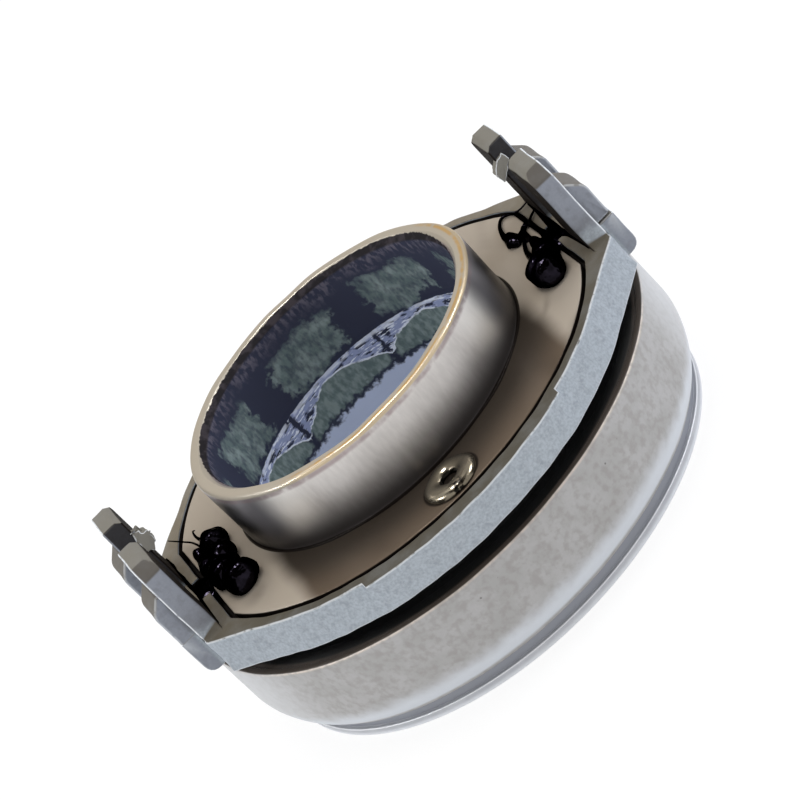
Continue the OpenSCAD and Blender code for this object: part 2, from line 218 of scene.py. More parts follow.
def grid_quads(rows: int, columns: int, close_rows: bool, close_columns: bool) -> Array:
    """Numbers the quads of a grid that may close on itself both ways.

    Args:
        rows: number of rows.
        columns: number of columns.
        close_rows: the last row joins the first.
        close_columns: the last column joins the first.

    Returns:
        Four point numbers a row.
    """
    i, j = np.meshgrid(
        np.arange(rows if close_rows else rows - 1),
        np.arange(columns if close_columns else columns - 1),
        indexing="ij",
    )
    k, m = (i + 1) % rows, (j + 1) % columns
    corners = [i * columns + j, k * columns + j, k * columns + m, i * columns + m]
    return np.stack(corners, -1).reshape(-1, 4)


def rounded_loop(corners: Sequence[Corner], count: int) -> tuple[Array, Array]:
    """Rounds the corners of a closed outline, for many angles at once.

    Each rounding is the curve (1-t)^2 A + 2t(1-t) C + t^2 B between the set-back points A and B of
    its corner C, and worn most in its middle.

    Args:
        corners: the outline's corners in order.
        count: number of angles.

    Returns:
        The outlines as (count, points, 2), and how worn each point of an outline is.
    """
    at = np.array([[np.broadcast_to(c.r, count), np.broadcast_to(c.z, count)] for c in corners])
    at = at.transpose(2, 0, 1)
    cut = np.array([c.cut for c in corners])[None, :, None]
    back, ahead = np.roll(at, 1, 1) - at, np.roll(at, -1, 1) - at
    start = at + cut * back / np.linalg.norm(back, axis=2, keepdims=True)
    end = at + cut * ahead / np.linalg.norm(ahead, axis=2, keepdims=True)
    t = np.linspace(0, 1, ARC_STEPS)[None, :, None]
    runs, wear = [], []
    for i, corner in enumerate(corners):
        if corner.cut > 0:
            a, b, c = start[:, i, None], end[:, i, None], at[:, i, None]
            runs.append((1 - t) ** 2 * a + 2 * t * (1 - t) * c + t**2 * b)
            low, high = -corners[i - 1].soil_and_shade, -corner.soil_and_shade
            turn = t[0, :, 0]
            wear.append(corner.wear * np.sin(np.pi * turn) + low * (1 - turn) + high * turn)
        else:
            runs.append(at[:, i, None])
            wear.append(np.array([corner.wear]))
        if corner.fill:
            share = np.linspace(0, 1, corner.fill + 2)[1:-1][None, :, None]
            following = start[:, (i + 1) % len(corners), None]
            runs.append(end[:, i, None] * (1 - share) + following * share)
            wear.append(np.full(corner.fill, -corner.soil_and_shade))
    return np.concatenate(runs, 1), np.concatenate(wear)


def ring(corners: Sequence[Corner], angles: Array, centre: tuple[float, float] = (0.0, 0.0),
         gap: bool = False, wave: Array | None = None) -> Shell:
    """Carries a rounded section round an upright axis: (cx + r cos a, cy + r sin a, z).

    Args:
        corners: the section's corners in order.
        angles: angles of the section's places, in radians.
        centre: the axis' place.
        gap: the ring is open between the last angle and the first.
        wave: height added at each angle.

    Returns:
        The ring's closed surface.
    """
    loop, wear = rounded_loop(corners, angles.size)
    r, z = loop[..., 0], loop[..., 1] + (0.0 if wave is None else wave[:, None])
    turn = angles[:, None]
    points = np.stack([centre[0] + r * np.cos(turn), centre[1] + r * np.sin(turn), z], -1)
    rows, columns = r.shape
    ends = [list(range(columns))[::-1], list(range((rows - 1) * columns, rows * columns))]
    shell = Shell(points.reshape(-1, 3), grid_quads(rows, columns, not gap, True),
                  ends if gap else [], np.tile(wear, rows))
    return shell.outward()


def flat_ring(sizes: tuple[float, float, float, float], cuts: tuple[float, float], angles: Array,
              worn: float = 0.0, gap: bool = False, wave: Array | None = None) -> Shell:
    """Makes a ring of inner and outer radius, low and high end, with its low outer corner worn."""
    inner, outer, low, high = sizes
    return ring([Corner(inner, low, cuts[0]), Corner(outer, low, cuts[1], wear=worn),
                 Corner(outer, high, cuts[1]), Corner(inner, high, cuts[0])], angles, gap=gap, wave=wave)


def slab(near: Array, far: Array, span: tuple[float, float], edge: float, axis: Axis,
         faces: tuple[float, float] = (0.0, 0.0), rims: tuple[float, float] = (0.0, 0.0)) -> Shell:
    """Carries an outline across a thickness, with quarter rounds along both rims.

    At a turn t of the round the outline is set in by edge (1 - sin t) along its own normal, and lies
    edge (1 - cos t) in from the face. Between the faces the outline goes evenly from near to far.

    Args:
        near: the outline at the low end, as (points, 3) with the wear in the last column.
        far: the outline at the high end.
        span: low and high end of the thickness.
        edge: radius of the rounds.
        axis: direction of the thickness.
        faces: how worn the low and the high face are.
        rims: how worn the low and the high round are.

    Returns:
        The slab's closed surface.
    """
    t = np.linspace(0, np.pi / 2, ARC_STEPS - 1)
    rise, inset = edge * (1 - np.cos(t)), edge * (1 - np.sin(t))
    low, high = span
    middle = np.linspace(low + edge, high - edge, SIDE_ROWS + 2)[1:-1]
    level = np.concatenate([low + rise, middle, (high - rise)[::-1]])
    inset = np.concatenate([inset, np.zeros(SIDE_ROWS), inset[::-1]])
    ends = [face * np.cos(t) ** 2 + rim * np.sin(2 * t) for face, rim in zip(faces, rims)]
    worn = np.concatenate([ends[0], np.zeros(SIDE_ROWS), ends[1][::-1]])
    share = ((level - low) / (high - low))[:, None, None]
    loop = near[None] * (1 - share) + far[None] * share
    worn = np.clip(worn[:, None] + loop[..., 2], -1, 1)
    loop = loop[..., :2]
    along = np.roll(loop, -1, 1) - np.roll(loop, 1, 1)
    along /= np.linalg.norm(along, axis=2, keepdims=True)
    area = np.sum(near[:, 0] * np.roll(near[:, 1], -1) - near[:, 1] * np.roll(near[:, 0], -1))
    normal = np.stack([along[..., 1], -along[..., 0]], -1) * np.sign(area)
    loop = loop - normal * inset[:, None, None]
    rows, columns = loop.shape[:2]
    flat = np.concatenate([loop, np.broadcast_to(level[:, None, None], (rows, columns, 1))], 2)
    caps = [list(range(columns))[::-1], list(range((rows - 1) * columns, rows * columns))]
    shell = Shell(flat.reshape(-1, 3)[:, list(axis.value)], grid_quads(rows, columns, False, True),
                  caps, worn.ravel())
    return shell.outward()


def outline(corners: Sequence[Corner]) -> Array:
    """Gives one rounded outline as (points, 3) with the wear in the last column."""
    loop, wear = rounded_loop(corners, 1)
    return np.column_stack([loop[0], wear])


def lump(centre: Sequence[float], radii: Sequence[float], floor: float, ripple: Ripple) -> Shell:
    """Makes a soft lump on a flat seat: a ball grid, rippled, with nothing lower than the seat.

    The ball is centre + radii (sin u cos v, sin u sin v, cos u), with u from pole to pole.

    Args:
        centre: middle of the lump.
        radii: half sizes along X, Y and Z.
        floor: height of the seat.
        ripple: unevenness of the skin.

    Returns:
        The lump's closed surface.
    """
    rows, columns = 22, 36
    u = np.linspace(0, np.pi, rows + 2)[1:-1, None]
    v = np.linspace(0, 2 * np.pi, columns, endpoint=False)[None]
    ball = np.stack([np.sin(u) * np.cos(v), np.sin(u) * np.sin(v), np.cos(u) + 0 * v], -1)
    ball = np.concatenate([ball.reshape(-1, 3), [[0, 0, 1], [0, 0, -1]]])
    points = ripple.moved(np.array(centre) + ball * np.array(radii))
    points[:, 2] = np.maximum(points[:, 2], floor)
    top, last, first = rows * columns, (rows - 1) * columns, np.arange(columns)
    after = (first + 1) % columns
    fans = [[top, int(a), int(b)] for a, b in zip(first, after)]
    fans += [[top + 1, last + int(b), last + int(a)] for a, b in zip(first, after)]
    return Shell(points, grid_quads(rows, columns, False, True)[:, ::-1], fans,
                 np.zeros(len(points))).outward()


def strand(path: Sequence[Sequence[float]], radius: Sequence[float]) -> Shell:
    """Makes a round thread along a smooth path: path(s) + radius(s) (N cos v + B sin v).

    Args:
        path: points that the thread goes through.
        radius: its radius at each of them.

    Returns:
        The thread's closed surface.
    """
    knots, sides, steps = np.array(path, float), THREAD_SIDES, THREAD_STEPS * (len(path) - 1) + 1
    s = np.linspace(0, len(path) - 1, steps)
    i = np.minimum(s.astype(int), len(path) - 2)
    t = (s - i)[:, None]
    ends = np.concatenate([[2 * knots[0] - knots[1]], knots, [2 * knots[-1] - knots[-2]]])
    p0, p1, p2, p3 = ends[i], ends[i + 1], ends[i + 2], ends[i + 3]
    line = 0.5 * (2 * p1 + (p2 - p0) * t + (2 * p0 - 5 * p1 + 4 * p2 - p3) * t**2
                  + (3 * p1 - p0 - 3 * p2 + p3) * t**3)
    way = np.gradient(line, axis=0)
    way /= np.linalg.norm(way, axis=1, keepdims=True)
    normal = np.cross(way, ASKEW)
    normal /= np.linalg.norm(normal, axis=1, keepdims=True)
    other = np.cross(way, normal)
    v = np.linspace(0, 2 * np.pi, sides, endpoint=False)[None, :, None]
    thick = np.interp(s, np.arange(len(path)), radius)[:, None, None]
    skin = line[:, None] + thick * (normal[:, None] * np.cos(v) + other[:, None] * np.sin(v))
    caps = [list(range(sides))[::-1], list(range((steps - 1) * sides, steps * sides))]
    return Shell(skin.reshape(-1, 3), grid_quads(steps, sides, False, True), caps,
                 np.zeros(steps * sides)).outward()


def full_turn(count: int, keys: Sequence[float] = ()) -> Array:
    """Gives angles round a full turn, with key angles of one quadrant in all four.

    Args:
        count: number of even steps.
        keys: angles from the X axis, in radians, that have to be among them.

    Returns:
        The sorted angles.
    """
    even = np.linspace(0, 2 * np.pi, count, endpoint=False)
    key = np.array(keys)
    every = np.concatenate([even, key, np.pi - key, np.pi + key, 2 * np.pi - key])
    every = np.unique(np.round(every % (2 * np.pi), 6))
    return every[np.concatenate([[True], np.diff(every) > SAME_ANGLE])]


def linear(colour: Rgb) -> tuple[float, float, float, float]:
    """Turns a colour of 0 to 255 as seen on screen into the shader's linear values.

    Args:
        colour: red, green and blue.

    Returns:
        Linear red, green and blue, and an alpha of 1.
    """
    c = np.array(colour) / 255
    c = np.where(c <= 0.04045, c / 12.92, ((c + 0.055) / 1.055) ** 2.4)
    return (float(c[0]), float(c[1]), float(c[2]), 1.0)


class Paint:
    """Wires the nodes of one material around its Principled shader."""

    def __init__(self, name: str) -> None:
        """Starts a material whose patterns read Object coordinates in millimetres.

        Args:
            name: the material's name.
        """
        self.material = bpy.data.materials.new(name)
        self.material.use_nodes = True
        self.tree = self.material.node_tree
        self.shader = self.tree.nodes["Principled BSDF"]
        place = self.add("ShaderNodeTexCoord")
        scaled = self.add("ShaderNodeVectorMath", {"operation": "SCALE"})
        self.feed(scaled.inputs[0], place.outputs["Object"])
        scaled.inputs["Scale"].default_value = 1 / MM
        self.at = scaled.outputs[0]
        split = self.add("ShaderNodeSeparateXYZ")
        self.feed(split.inputs[0], self.at)
        self.x, self.y, self.z = split.outputs[0], split.outputs[1], split.outputs[2]
        facing = self.add("ShaderNodeSeparateXYZ")
        self.feed(facing.inputs[0], place.outputs["Normal"])
        self.aside, self.up = facing.outputs[1], facing.outputs[2]

    def out(self) -> Socket:
        """Gives the distance from the bore's axis."""
        return self.length(self.x, self.y)

    def add(self, kind: str, settings: dict[str, Any] | None = None) -> bpy.types.Node:
        """Adds a node.

        Args:
            kind: Blender's name of the node type.
            settings: properties to set on it.

        Returns:
            The node.
        """
        node = self.tree.nodes.new(kind)
        for key, value in (settings or {}).items():
            setattr(node, key, value)
        return node

    def feed(self, socket: Socket, value: Any) -> None:
        """Links a socket to an input, or sets the input's own value.

        Args:
            socket: the input.
            value: a socket, or a value of the input's kind.
        """
        if isinstance(value, Socket):
            self.tree.links.new(value, socket)
        else:
            socket.default_value = value

    def calc(self, operation: str, *values: Any) -> Socket:
        """Does one sum on numbers.

        Args:
            operation: Blender's name of the sum.
            values: sockets or numbers.

        Returns:
            The result's socket.
        """
        node = self.add("ShaderNodeMath", {"operation": operation})
        for i, value in enumerate(values):
            self.feed(node.inputs[i], value)
        return node.outputs[0]

    def times(self, *factors: Any) -> Socket:
        """Multiplies two or more sockets and numbers."""
        return reduce(lambda product, factor: self.calc("MULTIPLY", product, factor), factors)

    def lift(self, value: Any, slope: float, start: Any) -> Socket:
        """Gives a value times a slope, plus a start."""
        return self.calc("MULTIPLY_ADD", value, slope, start)

    def away(self, value: Socket, middle: float = 0.0) -> Socket:
        """Gives how far a value lies from a middle, on either side."""
        return self.calc("ABSOLUTE", self.calc("SUBTRACT", value, middle) if middle else value)

    def length(self, first: Socket, second: Socket) -> Socket:
        """Gives the root of the sum of two squares."""
        squares = self.calc("ADD", self.calc("POWER", first, 2.0), self.calc("POWER", second, 2.0))
        return self.calc("SQRT", squares)

    def ease(self, value: Socket, low: float, high: float) -> Socket:
        """Goes smoothly from 0 to 1 as a value goes from low to high, or back where low is higher.

        Args:
            value: the value's socket.
            low: value that gives 0.
            high: value that gives 1.

        Returns:
            The result's socket.
        """
        node = self.add("ShaderNodeMapRange", {"interpolation_type": "SMOOTHSTEP"})
        ends = (low, high, 0.0, 1.0) if low < high else (high, low, 1.0, 0.0)
        for i, number in enumerate((value, *ends)):
            self.feed(node.inputs[i], number)
        return node.outputs[0]

    def noise(self, size: float, detail: float = 3.0, stretch: Sequence[float] = (1, 1, 1)) -> Socket:
        """Adds soft noise.

        Args:
            size: size of its blobs.
            detail: finer layers in it.
            stretch: how much finer it is along each axis.

        Returns:
            The noise's socket, about 0.5 in the middle.
        """
        spread = self.add("ShaderNodeVectorMath", {"operation": "MULTIPLY"})
        self.feed(spread.inputs[0], self.at)
        spread.inputs[1].default_value = tuple(stretch)
        node = self.add("ShaderNodeTexNoise")
        self.feed(node.inputs["Vector"], spread.outputs[0])
        node.inputs["Scale"].default_value = 1.0 / size
        node.inputs["Detail"].default_value = detail
        return node.outputs[0]

    def sway(self, size: float, detail: float) -> Socket:
        """Gives soft noise about zero."""
        return self.calc("SUBTRACT", self.noise(size, detail), 0.5)

    def patches(self, size: float, low: float, high: float, detail: float = 3.0,
                stretch: Sequence[float] = (1, 1, 1)) -> Socket:
        """Cuts soft noise into patches, 0 where it is under low and 1 where it is over high."""
        return self.ease(self.noise(size, detail, stretch), low, high)

    def spots(self, size: float, low: float, high: float) -> Socket:
        """Adds scattered round spots, 1 inside and 0 outside.

        Args:
            size: distance between spots.
            low: share of that distance at which a spot has ended.
            high: share at which it is full.

        Returns:
            The spots' socket.
        """
        node = self.add("ShaderNodeTexVoronoi")
        self.feed(node.inputs["Vector"], self.at)
        node.inputs["Scale"].default_value = 1.0 / size
        return self.ease(node.outputs["Distance"], low, high)

    def blend(self, share: Any, first: Any, second: Any, most: float = 1.0) -> Socket:
        """Mixes two colours.

        Args:
            share: how much of the second.
            first: a socket or a screen colour.
            second: likewise.
            most: how much of the second there is where the share is 1.

        Returns:
            The mixed colour's socket.
        """
        node = self.add("ShaderNodeMix", {"data_type": "RGBA"})
        self.feed(node.inputs[0], self.times(share, most) if most < 1 else share)
        for i, colour in ((6, first), (7, second)):
            self.feed(node.inputs[i], linear(colour) if isinstance(colour, tuple) else colour)
        return node.outputs[2]

    def worn(self) -> Socket:
        """Gives how worn the surface is, from the piece's own attribute."""
        return self.add("ShaderNodeAttribute", {"attribute_name": "wear"}).outputs["Fac"]

    def bump(self, height: Socket, depth: float) -> Socket:
        """Turns a height into a bent normal.

        Args:
            height: the height's socket.
            depth: how deep a height of 1 is.

        Returns:
            The normal's socket.
        """
        node = self.add("ShaderNodeBump")
        node.inputs["Distance"].default_value = depth * MM
        self.feed(node.inputs["Height"], height)
        return node.outputs[0]

    def done(self, **inputs: Any) -> bpy.types.Material:
        """Sets the shader's inputs, named with _ for spaces.

        Args:
            inputs: sockets, numbers or screen colours.

        Returns:
            The finished material.
        """
        for key, value in inputs.items():
            value = linear(value) if isinstance(value, tuple) else value
            self.feed(self.shader.inputs[key.replace("_", " ")], value)
        return self.material


@dataclass(frozen=True)
class CastFinish:
    """Grainy die-cast alloy: blue-grey upright faces, taupe on what looks up, soiled and shaded corners.

    The taupe is a dull film whose tone is partly painted light from above; sloped tops and pads get
    painted shade, and corners, notches, recesses and feet are darkened, partly as soiling and partly as
    painted shade. Attributes hold the screen colours of its zones and the places where these begin.
    """

    light: Rgb = (173, 181, 189)
    body: Rgb = (154, 162, 170)
    tall: Rgb = (132, 136, 147)
    # Painted shade: the ears darken toward their foot.
    shin: Rgb = (106, 107, 114)
    nib: Rgb = (152, 149, 141)
    mottle: Rgb = (122, 126, 134)
    # These three colours tint what looks up: a dull film, partly painted light from above, darker toward
    # the front and paler on the prong tops.
    film: Rgb = (84, 80, 71)
    far_film_and_light: Rgb = (126, 118, 104)
    crown: Rgb = (126, 123, 115)
    # Painted shade on the sloped chamfers and on the pads' upward faces.
    chamfer: Rgb = (99, 95, 90)
    pad: Rgb = (116, 112, 106)
    # Pale worn edges, partly painted highlights on the edges.
    edge: Rgb = (226, 230, 234)
    # Dark soiling, also painted shade in corners, notches, recesses and feet.
    soil_and_shade: Rgb = (34, 29, 26)
    film_and_light_y: tuple[float, float] = (-24.0, 8.0)
    plate_z: float = 19.4
    crown_z: float = 24.0
    chamfer_z: float = 28.2
    pad_x: float = 29.9
    nib_at: tuple[float, float, float] = (27.25, 2.9, 24.0)

    def film_and_top_light(self, p: Paint) -> Socket:
        """Paints what looks up, partly as painted light from above: olive on the plate, darker toward
        the front, paler on the prongs, and painted shade on the chamfers and pads.

        Args:
            p: the material's paint.

        Returns:
            The colour's socket.
        """
        plate = p.blend(p.ease(p.y, *self.film_and_light_y), self.film, self.far_film_and_light)
        top = p.blend(p.ease(p.z, self.crown_z - 2, self.crown_z), plate, self.crown)
        # Painted shade on chamfer faces that slope sideways.
        slope = p.times(p.ease(p.away(p.aside), 0.42, 0.58),
                        p.ease(p.z, self.chamfer_z - 0.4, self.chamfer_z))
        top = p.blend(slope, top, self.chamfer)
        # Painted shade on the pads' upward faces.
        return p.blend(p.ease(p.away(p.x), self.pad_x - 0.15, self.pad_x + 0.1), top, self.pad)

    def bare_colour(self, p: Paint) -> Socket:
        """Paints the bare skin: speckled plate, darker ears with stains and painted shade toward their
        foot, pale nibs of flash.

        Args:
            p: the material's paint.

        Returns:
            The colour's socket.
        """
        colour = p.blend(p.patches(0.28, 0.3, 0.7, 5.0), self.body, self.light)
        height = p.calc("SUBTRACT", p.lift(p.sway(4.0, 3.0), 5.0, p.z), self.plate_z)
        side = p.away(p.x)
        beyond = p.ease(side, self.pad_x + 0.1, self.pad_x + 0.5)
        # Painted shade: each ear darkens toward its foot on the plate.
        ear = p.blend(beyond, p.blend(p.ease(height, 0.6, 6.6), self.shin, self.tall), self.tall)
        on_ear = p.calc("MAXIMUM", p.ease(height, 0.4, 2.1), beyond)
        colour = p.blend(on_ear, colour, ear, 0.85)
        # Mottled patches, on the ears in their painted foot shade.
        stain_and_shade = p.blend(on_ear, self.mottle, self.shin)
        colour = p.blend(p.patches(0.8, 0.45, 0.75, 5.0), colour, stain_and_shade, 0.4)
        x, y, z = self.nib_at
        off = p.calc("MAXIMUM", p.ease(side, x, x - 0.2), p.ease(p.away(p.y), y + 0.07, y - 0.02))
        return p.blend(p.times(off, p.ease(p.z, z - 0.5, z + 0.5)), colour, self.nib)

    def material(self) -> bpy.types.Material:
        """Lays the film with its painted top light, pale worn edges that are partly painted highlights,
        and soiling with painted shade on the bare skin, over a grainy bump.

        Returns:
            The finished material.
        """
        p = Paint("cast_alloy")
        foot = p.times(p.ease(p.up, 0.08, 0.4), p.ease(p.z, self.plate_z - 0.05, self.plate_z + 0.1))
        film = p.times(p.calc("MAXIMUM", p.ease(p.up, 0.42, 0.62), foot),
                       p.lift(p.patches(2.5, 0.3, 0.6, 4.0), 0.08, 0.92))
        colour = p.blend(film, self.bare_colour(p), self.film_and_top_light(p))
        wear = p.worn()
        # Worn edges painted pale, partly standing in for edge highlights.
        bright = p.times(p.ease(wear, 0.0, 0.9), p.patches(0.8, 0.2, 0.5))
        # Negative wear: soiling and painted shade in corners, notches, recesses and feet.
        dark = p.times(p.ease(wear, 0.0, -0.9), p.patches(1.1, 0.0, 0.34, 4.0))
        colour = p.blend(dark, p.blend(bright, colour, self.edge), self.soil_and_shade)
        dull = p.calc("MAXIMUM", film, dark)
        return p.done(Base_Color=colour, Metallic=p.lift(dull, -0.1, 0.12),
                      Normal=p.bump(p.noise(0.22, 4.0), 0.02),
                      Specular_IOR_Level=p.lift(dull, -0.42, 0.45),
                      Roughness=p.lift(dull, 0.2, 0.45))


@dataclass(frozen=True)
class BoreMarks:
    """Patterns that the zones of the bore share.

    Attributes:
        rough: ragged noise about zero.
        drift: slow noise about zero.
        fine: fine upright streaks.
        cell: place across a patch, from -0.5 to 0.5.
    """

    rough: Socket
    drift: Socket
    fine: Socket
    cell: Socket


@dataclass(frozen=True)
class SleeveFinish:
    """Satin drawn steel: streaked wall, beige rim, film on the flange, dark bore, with painted light and
    shade.

    The wall has painted highlight bands, painted shade at its foot, sides and ends and a painted shadow
    line under the rim; the rim has a painted gold highlight and pale edge on its near half; the flange
    carries the wall's painted shadow and painted shade in its creases. Attributes hold the screen
    colours of its zones, the sleeve's sizes and, for the bore, the angle, number and heights of the
    pale film patches and of the band below them.
    """

    wall: Rgb = (218, 214, 211)
    streak: Rgb = (208, 204, 201)
    # Painted shade and reflection of the flange toward the wall's foot.
    base: Rgb = (70, 66, 65)
    # Painted shade toward the wall's sides.
    side: Rgb = (136, 134, 138)
    film: Rgb = (173, 163, 150)
    # Painted shadow of the wall on the flange: darkest beside it, lighter farther out.
    shade: Rgb = (62, 55, 48)
    front: Rgb = (99, 86, 73)
    rim: Rgb = (174, 166, 152)
    # Painted highlights: gold line and pale edge on the rim's near half, pale bands on the wall.
    gold: Rgb = (182, 148, 94)
    pale_rim: Rgb = (196, 178, 148)
    painted_highlight: Rgb = (250, 248, 244)
    # Dark stains, also used as painted shade in creases, on the flange's edge and at the wall's low
    # ends.
    stain_and_shade: Rgb = (22, 17, 14)
    navy: Rgb = (57, 60, 77)
    fringe: Rgb = (104, 100, 112)
    fuzz: Rgb = (54, 49, 54)
    smut: Rgb = (28, 25, 29)
    # Painted shade at both ends of the wall.
    end: Rgb = (46, 44, 46)
    # Painted shadow line just under the rim.
    rim_shadow: Rgb = (150, 132, 134)
    patch: Rgb = (106, 121, 120)
    pale: Rgb = (142, 156, 153)
    haze: Rgb = (160, 170, 204)
    sky: Rgb = (206, 216, 238)
    line: Rgb = (238, 243, 253)
    bore_r: float = 17.0
    rim_z: float = 28.0
    wall_r: float = 19.0
    plate_top: float = 19.4
    rivet_y: float = 23.5
    rivet_r: float = 3.3
    patch_angle: float = 47.5
    patch_count: int = 8
    patch_z: tuple[float, float] = (19.6, 24.7)
    fringe_z: tuple[float, float] = (25.0, 27.2)
    band_z: float = 18.9
    arch_z: float = 17.8
    arch_drop: float = 10.0
    sky_z: float = 14.0

    def upper_bore(self, p: Paint, marks: BoreMarks) -> Socket:
        """Paints the navy coat, its row of grey-green patches, its fringe and the bare top edge.

        Args:
            p: the material's paint.
            marks: the bore's patterns.

        Returns:
            The colour's socket.
        """
        height = p.lift(marks.rough, 2.6, p.lift(marks.drift, 4.0, p.z))
        bent = p.lift(marks.drift, 0.45, p.lift(marks.rough, 0.3, marks.cell))
        low, high = self.patch_z
        patch = p.times(p.ease(p.away(bent), 0.36, 0.29), p.ease(height, high + 0.5, high - 0.5),
                        p.ease(height, low - 0.4, low + 0.4),
                        p.lift(p.ease(marks.fine, 0.3, 0.65), 0.6, 0.4))
        film = p.blend(p.patches(1.6, 0.4, 0.7, 4.0), self.patch, self.pale)
        fringe = p.times(p.ease(height, *self.fringe_z), p.ease(marks.fine, 0.42, 0.62))
        colour = p.blend(fringe, p.blend(patch, self.navy, film), self.fringe, 0.9)
        bare = p.blend(p.patches(1.3, 0.44, 0.62, 6.0), self.smut, self.fuzz)
        return p.blend(p.ease(p.z, self.rim_z - 0.9, self.rim_z - 0.6), colour, bare)

    def lower_bore(self, p: Paint, marks: BoreMarks, plain: Socket) -> Socket:
        """Paints the pale blue band, the arched patches under it and the sky-blue foot.

        The band's lower border is the arch arch_z - arch_drop off^2, where off is the place across
        a patch.

        Args:
            p: the material's paint.
            marks: the bore's patterns.
            plain: height with a slightly ragged level.

        Returns:
            The colour's socket.
        """
        off = p.away(p.lift(marks.rough, 0.1, marks.cell))
        arch = p.calc("SUBTRACT", self.arch_z, p.times(p.calc("POWER", off, 2.0), self.arch_drop))
        above = p.calc("SUBTRACT", plain, p.lift(marks.drift, 1.6, arch))
        band = p.blend(p.patches(1.5, 0.5, 0.6, 5.0, (1, 1, 3.0)), self.haze, self.navy)
        band = p.blend(p.patches(1.2, 0.56, 0.62, 4.0, (1, 1, 5.0)), band, self.line)
        band = p.blend(p.ease(off, 0.47, 0.49), band, self.navy)
        film = p.blend(p.ease(marks.fine, 0.35, 0.65), self.patch, self.pale)
        film = p.blend(p.ease(off, 0.44, 0.49), film, self.navy)
        colour = p.blend(p.ease(above, -0.06, 0.06), film, band)
        border = p.times(p.ease(p.away(above), 0.16, 0.06), p.patches(1.4, 0.35, 0.55))
        colour = p.blend(border, colour, self.line)
        broken = p.times(p.ease(plain, self.band_z - 0.6, self.band_z - 0.3),
                         p.patches(1.8, 0.4, 0.55, 4.0))
        colour = p.blend(broken, colour, self.line, 0.7)
        foot = p.lift(marks.rough, 2.2, p.z)
        colour = p.blend(p.ease(foot, self.sky_z + 0.1, self.sky_z - 0.3), colour, self.sky)
        return p.blend(p.ease(p.away(foot, self.sky_z), 0.6, 0.1), colour, self.navy, 0.95)

    def bore_colour(self, p: Paint) -> Socket:
        """Paints the bore, whose patterns repeat round its axis in patch_count cells.

        Args:
            p: the material's paint.

        Returns:
            The colour's socket.
        """
        turn = p.calc("DIVIDE", p.calc("ARCTAN2", p.y, p.x), 2 * np.pi / self.patch_count)
        start = self.patch_angle / (360 / self.patch_count)
        cell = p.calc("SUBTRACT", p.calc("FRACT", p.calc("SUBTRACT", turn, start - 0.5)), 0.5)
        marks = BoreMarks(p.sway(0.8, 6.0), p.sway(4.0, 2.0), p.noise(0.5, 6.0, (1, 1, 0.5)), cell)
        plain = p.lift(marks.rough, 0.3, p.z)
        return p.blend(p.ease(plain, self.band_z + 0.05, self.band_z - 0.05),
                       self.upper_bore(p, marks), self.lower_bore(p, marks, plain))

    def flange_colour(self, p: Paint, out: Socket) -> Socket:
        """Paints the film on the flange, with the wall's painted shadow in front of it, painted shade in
        the crease at the wall's foot and on its edge in the recess, and darker round the rivets.

        Args:
            p: the material's paint.
            out: distance from the bore's axis.

        Returns:
            The colour's socket.
        """
        # Painted shadow that the wall casts toward -Y on the flange.
        near = p.blend(p.ease(out, self.wall_r + 2.0, self.wall_r + 9.0), self.shade, self.front)
        level = p.lift(p.noise(5.0, 3.0), 0.8, p.away(p.x))
        before = p.times(p.ease(level, self.wall_r + 1.2, self.wall_r - 1.3), p.ease(p.y, -4.0, -9.0))
        film = p.blend(before, self.film, near)
        far = p.length(p.x, p.calc("SUBTRACT", p.away(p.y), self.rivet_y))
        film = p.blend(p.ease(far, self.rivet_r + 0.35, self.rivet_r + 0.1), film, self.stain_and_shade, 0.9)
        # Painted shade in the crease at the wall's foot.
        film = p.blend(p.ease(out, self.wall_r + 0.36, self.wall_r + 0.26), film, self.stain_and_shade)
        # Painted shade on the flange's edge down in the recess.
        under = p.times(p.ease(p.z, self.plate_top - 0.02, self.plate_top - 0.14),
                        p.ease(out, self.wall_r + 3, self.wall_r + 4))
        return p.blend(under, film, self.stain_and_shade)

    def wall_colour(self, p: Paint) -> Socket:
        """Paints the wall: streaked, with painted highlight bands, painted shade at its foot, its sides
        and both ends, and a painted shadow line below the rim.

        Args:
            p: the material's paint.

        Returns:
            The colour's socket.
        """
        colour = p.blend(p.patches(0.5, 0.3, 0.7, 5.0, (1, 1, 0.3)), self.streak, self.wall)
        level = p.away(p.calc("DIVIDE", p.x, self.wall_r))
        # Painted highlight bands.
        colour = p.blend(p.ease(level, 0.55, 0.7), colour, self.painted_highlight, 0.6)
        # Painted shade toward the sides and, below, toward the foot where the wall mirrors the flange.
        colour = p.blend(p.ease(level, 0.73, 0.86), colour, self.side)
        colour = p.blend(p.ease(p.z, self.rim_z - 2.5, self.plate_top + 0.5), colour, self.base)
        # Painted shade at both ends, darkest low down.
        ends = p.times(p.ease(level, 0.9, 0.97), p.ease(p.z, self.rim_z - 0.8, self.rim_z - 2),
                       p.ease(p.y, 1.0, -3.0))
        colour = p.blend(ends, colour, self.end, 0.8)
        low_ends = p.times(ends, p.ease(p.z, self.rim_z - 3.3, self.rim_z - 5.3))
        colour = p.blend(low_ends, colour, self.stain_and_shade, 0.7)
        # Painted shadow line just under the rim.
        below = p.times(p.ease(p.away(p.z, self.rim_z - 0.65), 0.5, 0.1),
                        p.patches(1.4, 0.25, 0.6, 4.0))
        return p.blend(below, colour, self.rim_shadow, 0.75)

    def rim_colour(self, p: Paint, out: Socket) -> Socket:
        """Paints the rim: beige, with a painted gold highlight line and a painted pale edge highlight on
        its near half.

        Args:
            p: the material's paint.
            out: distance from the bore's axis.

        Returns:
            The colour's socket.
        """
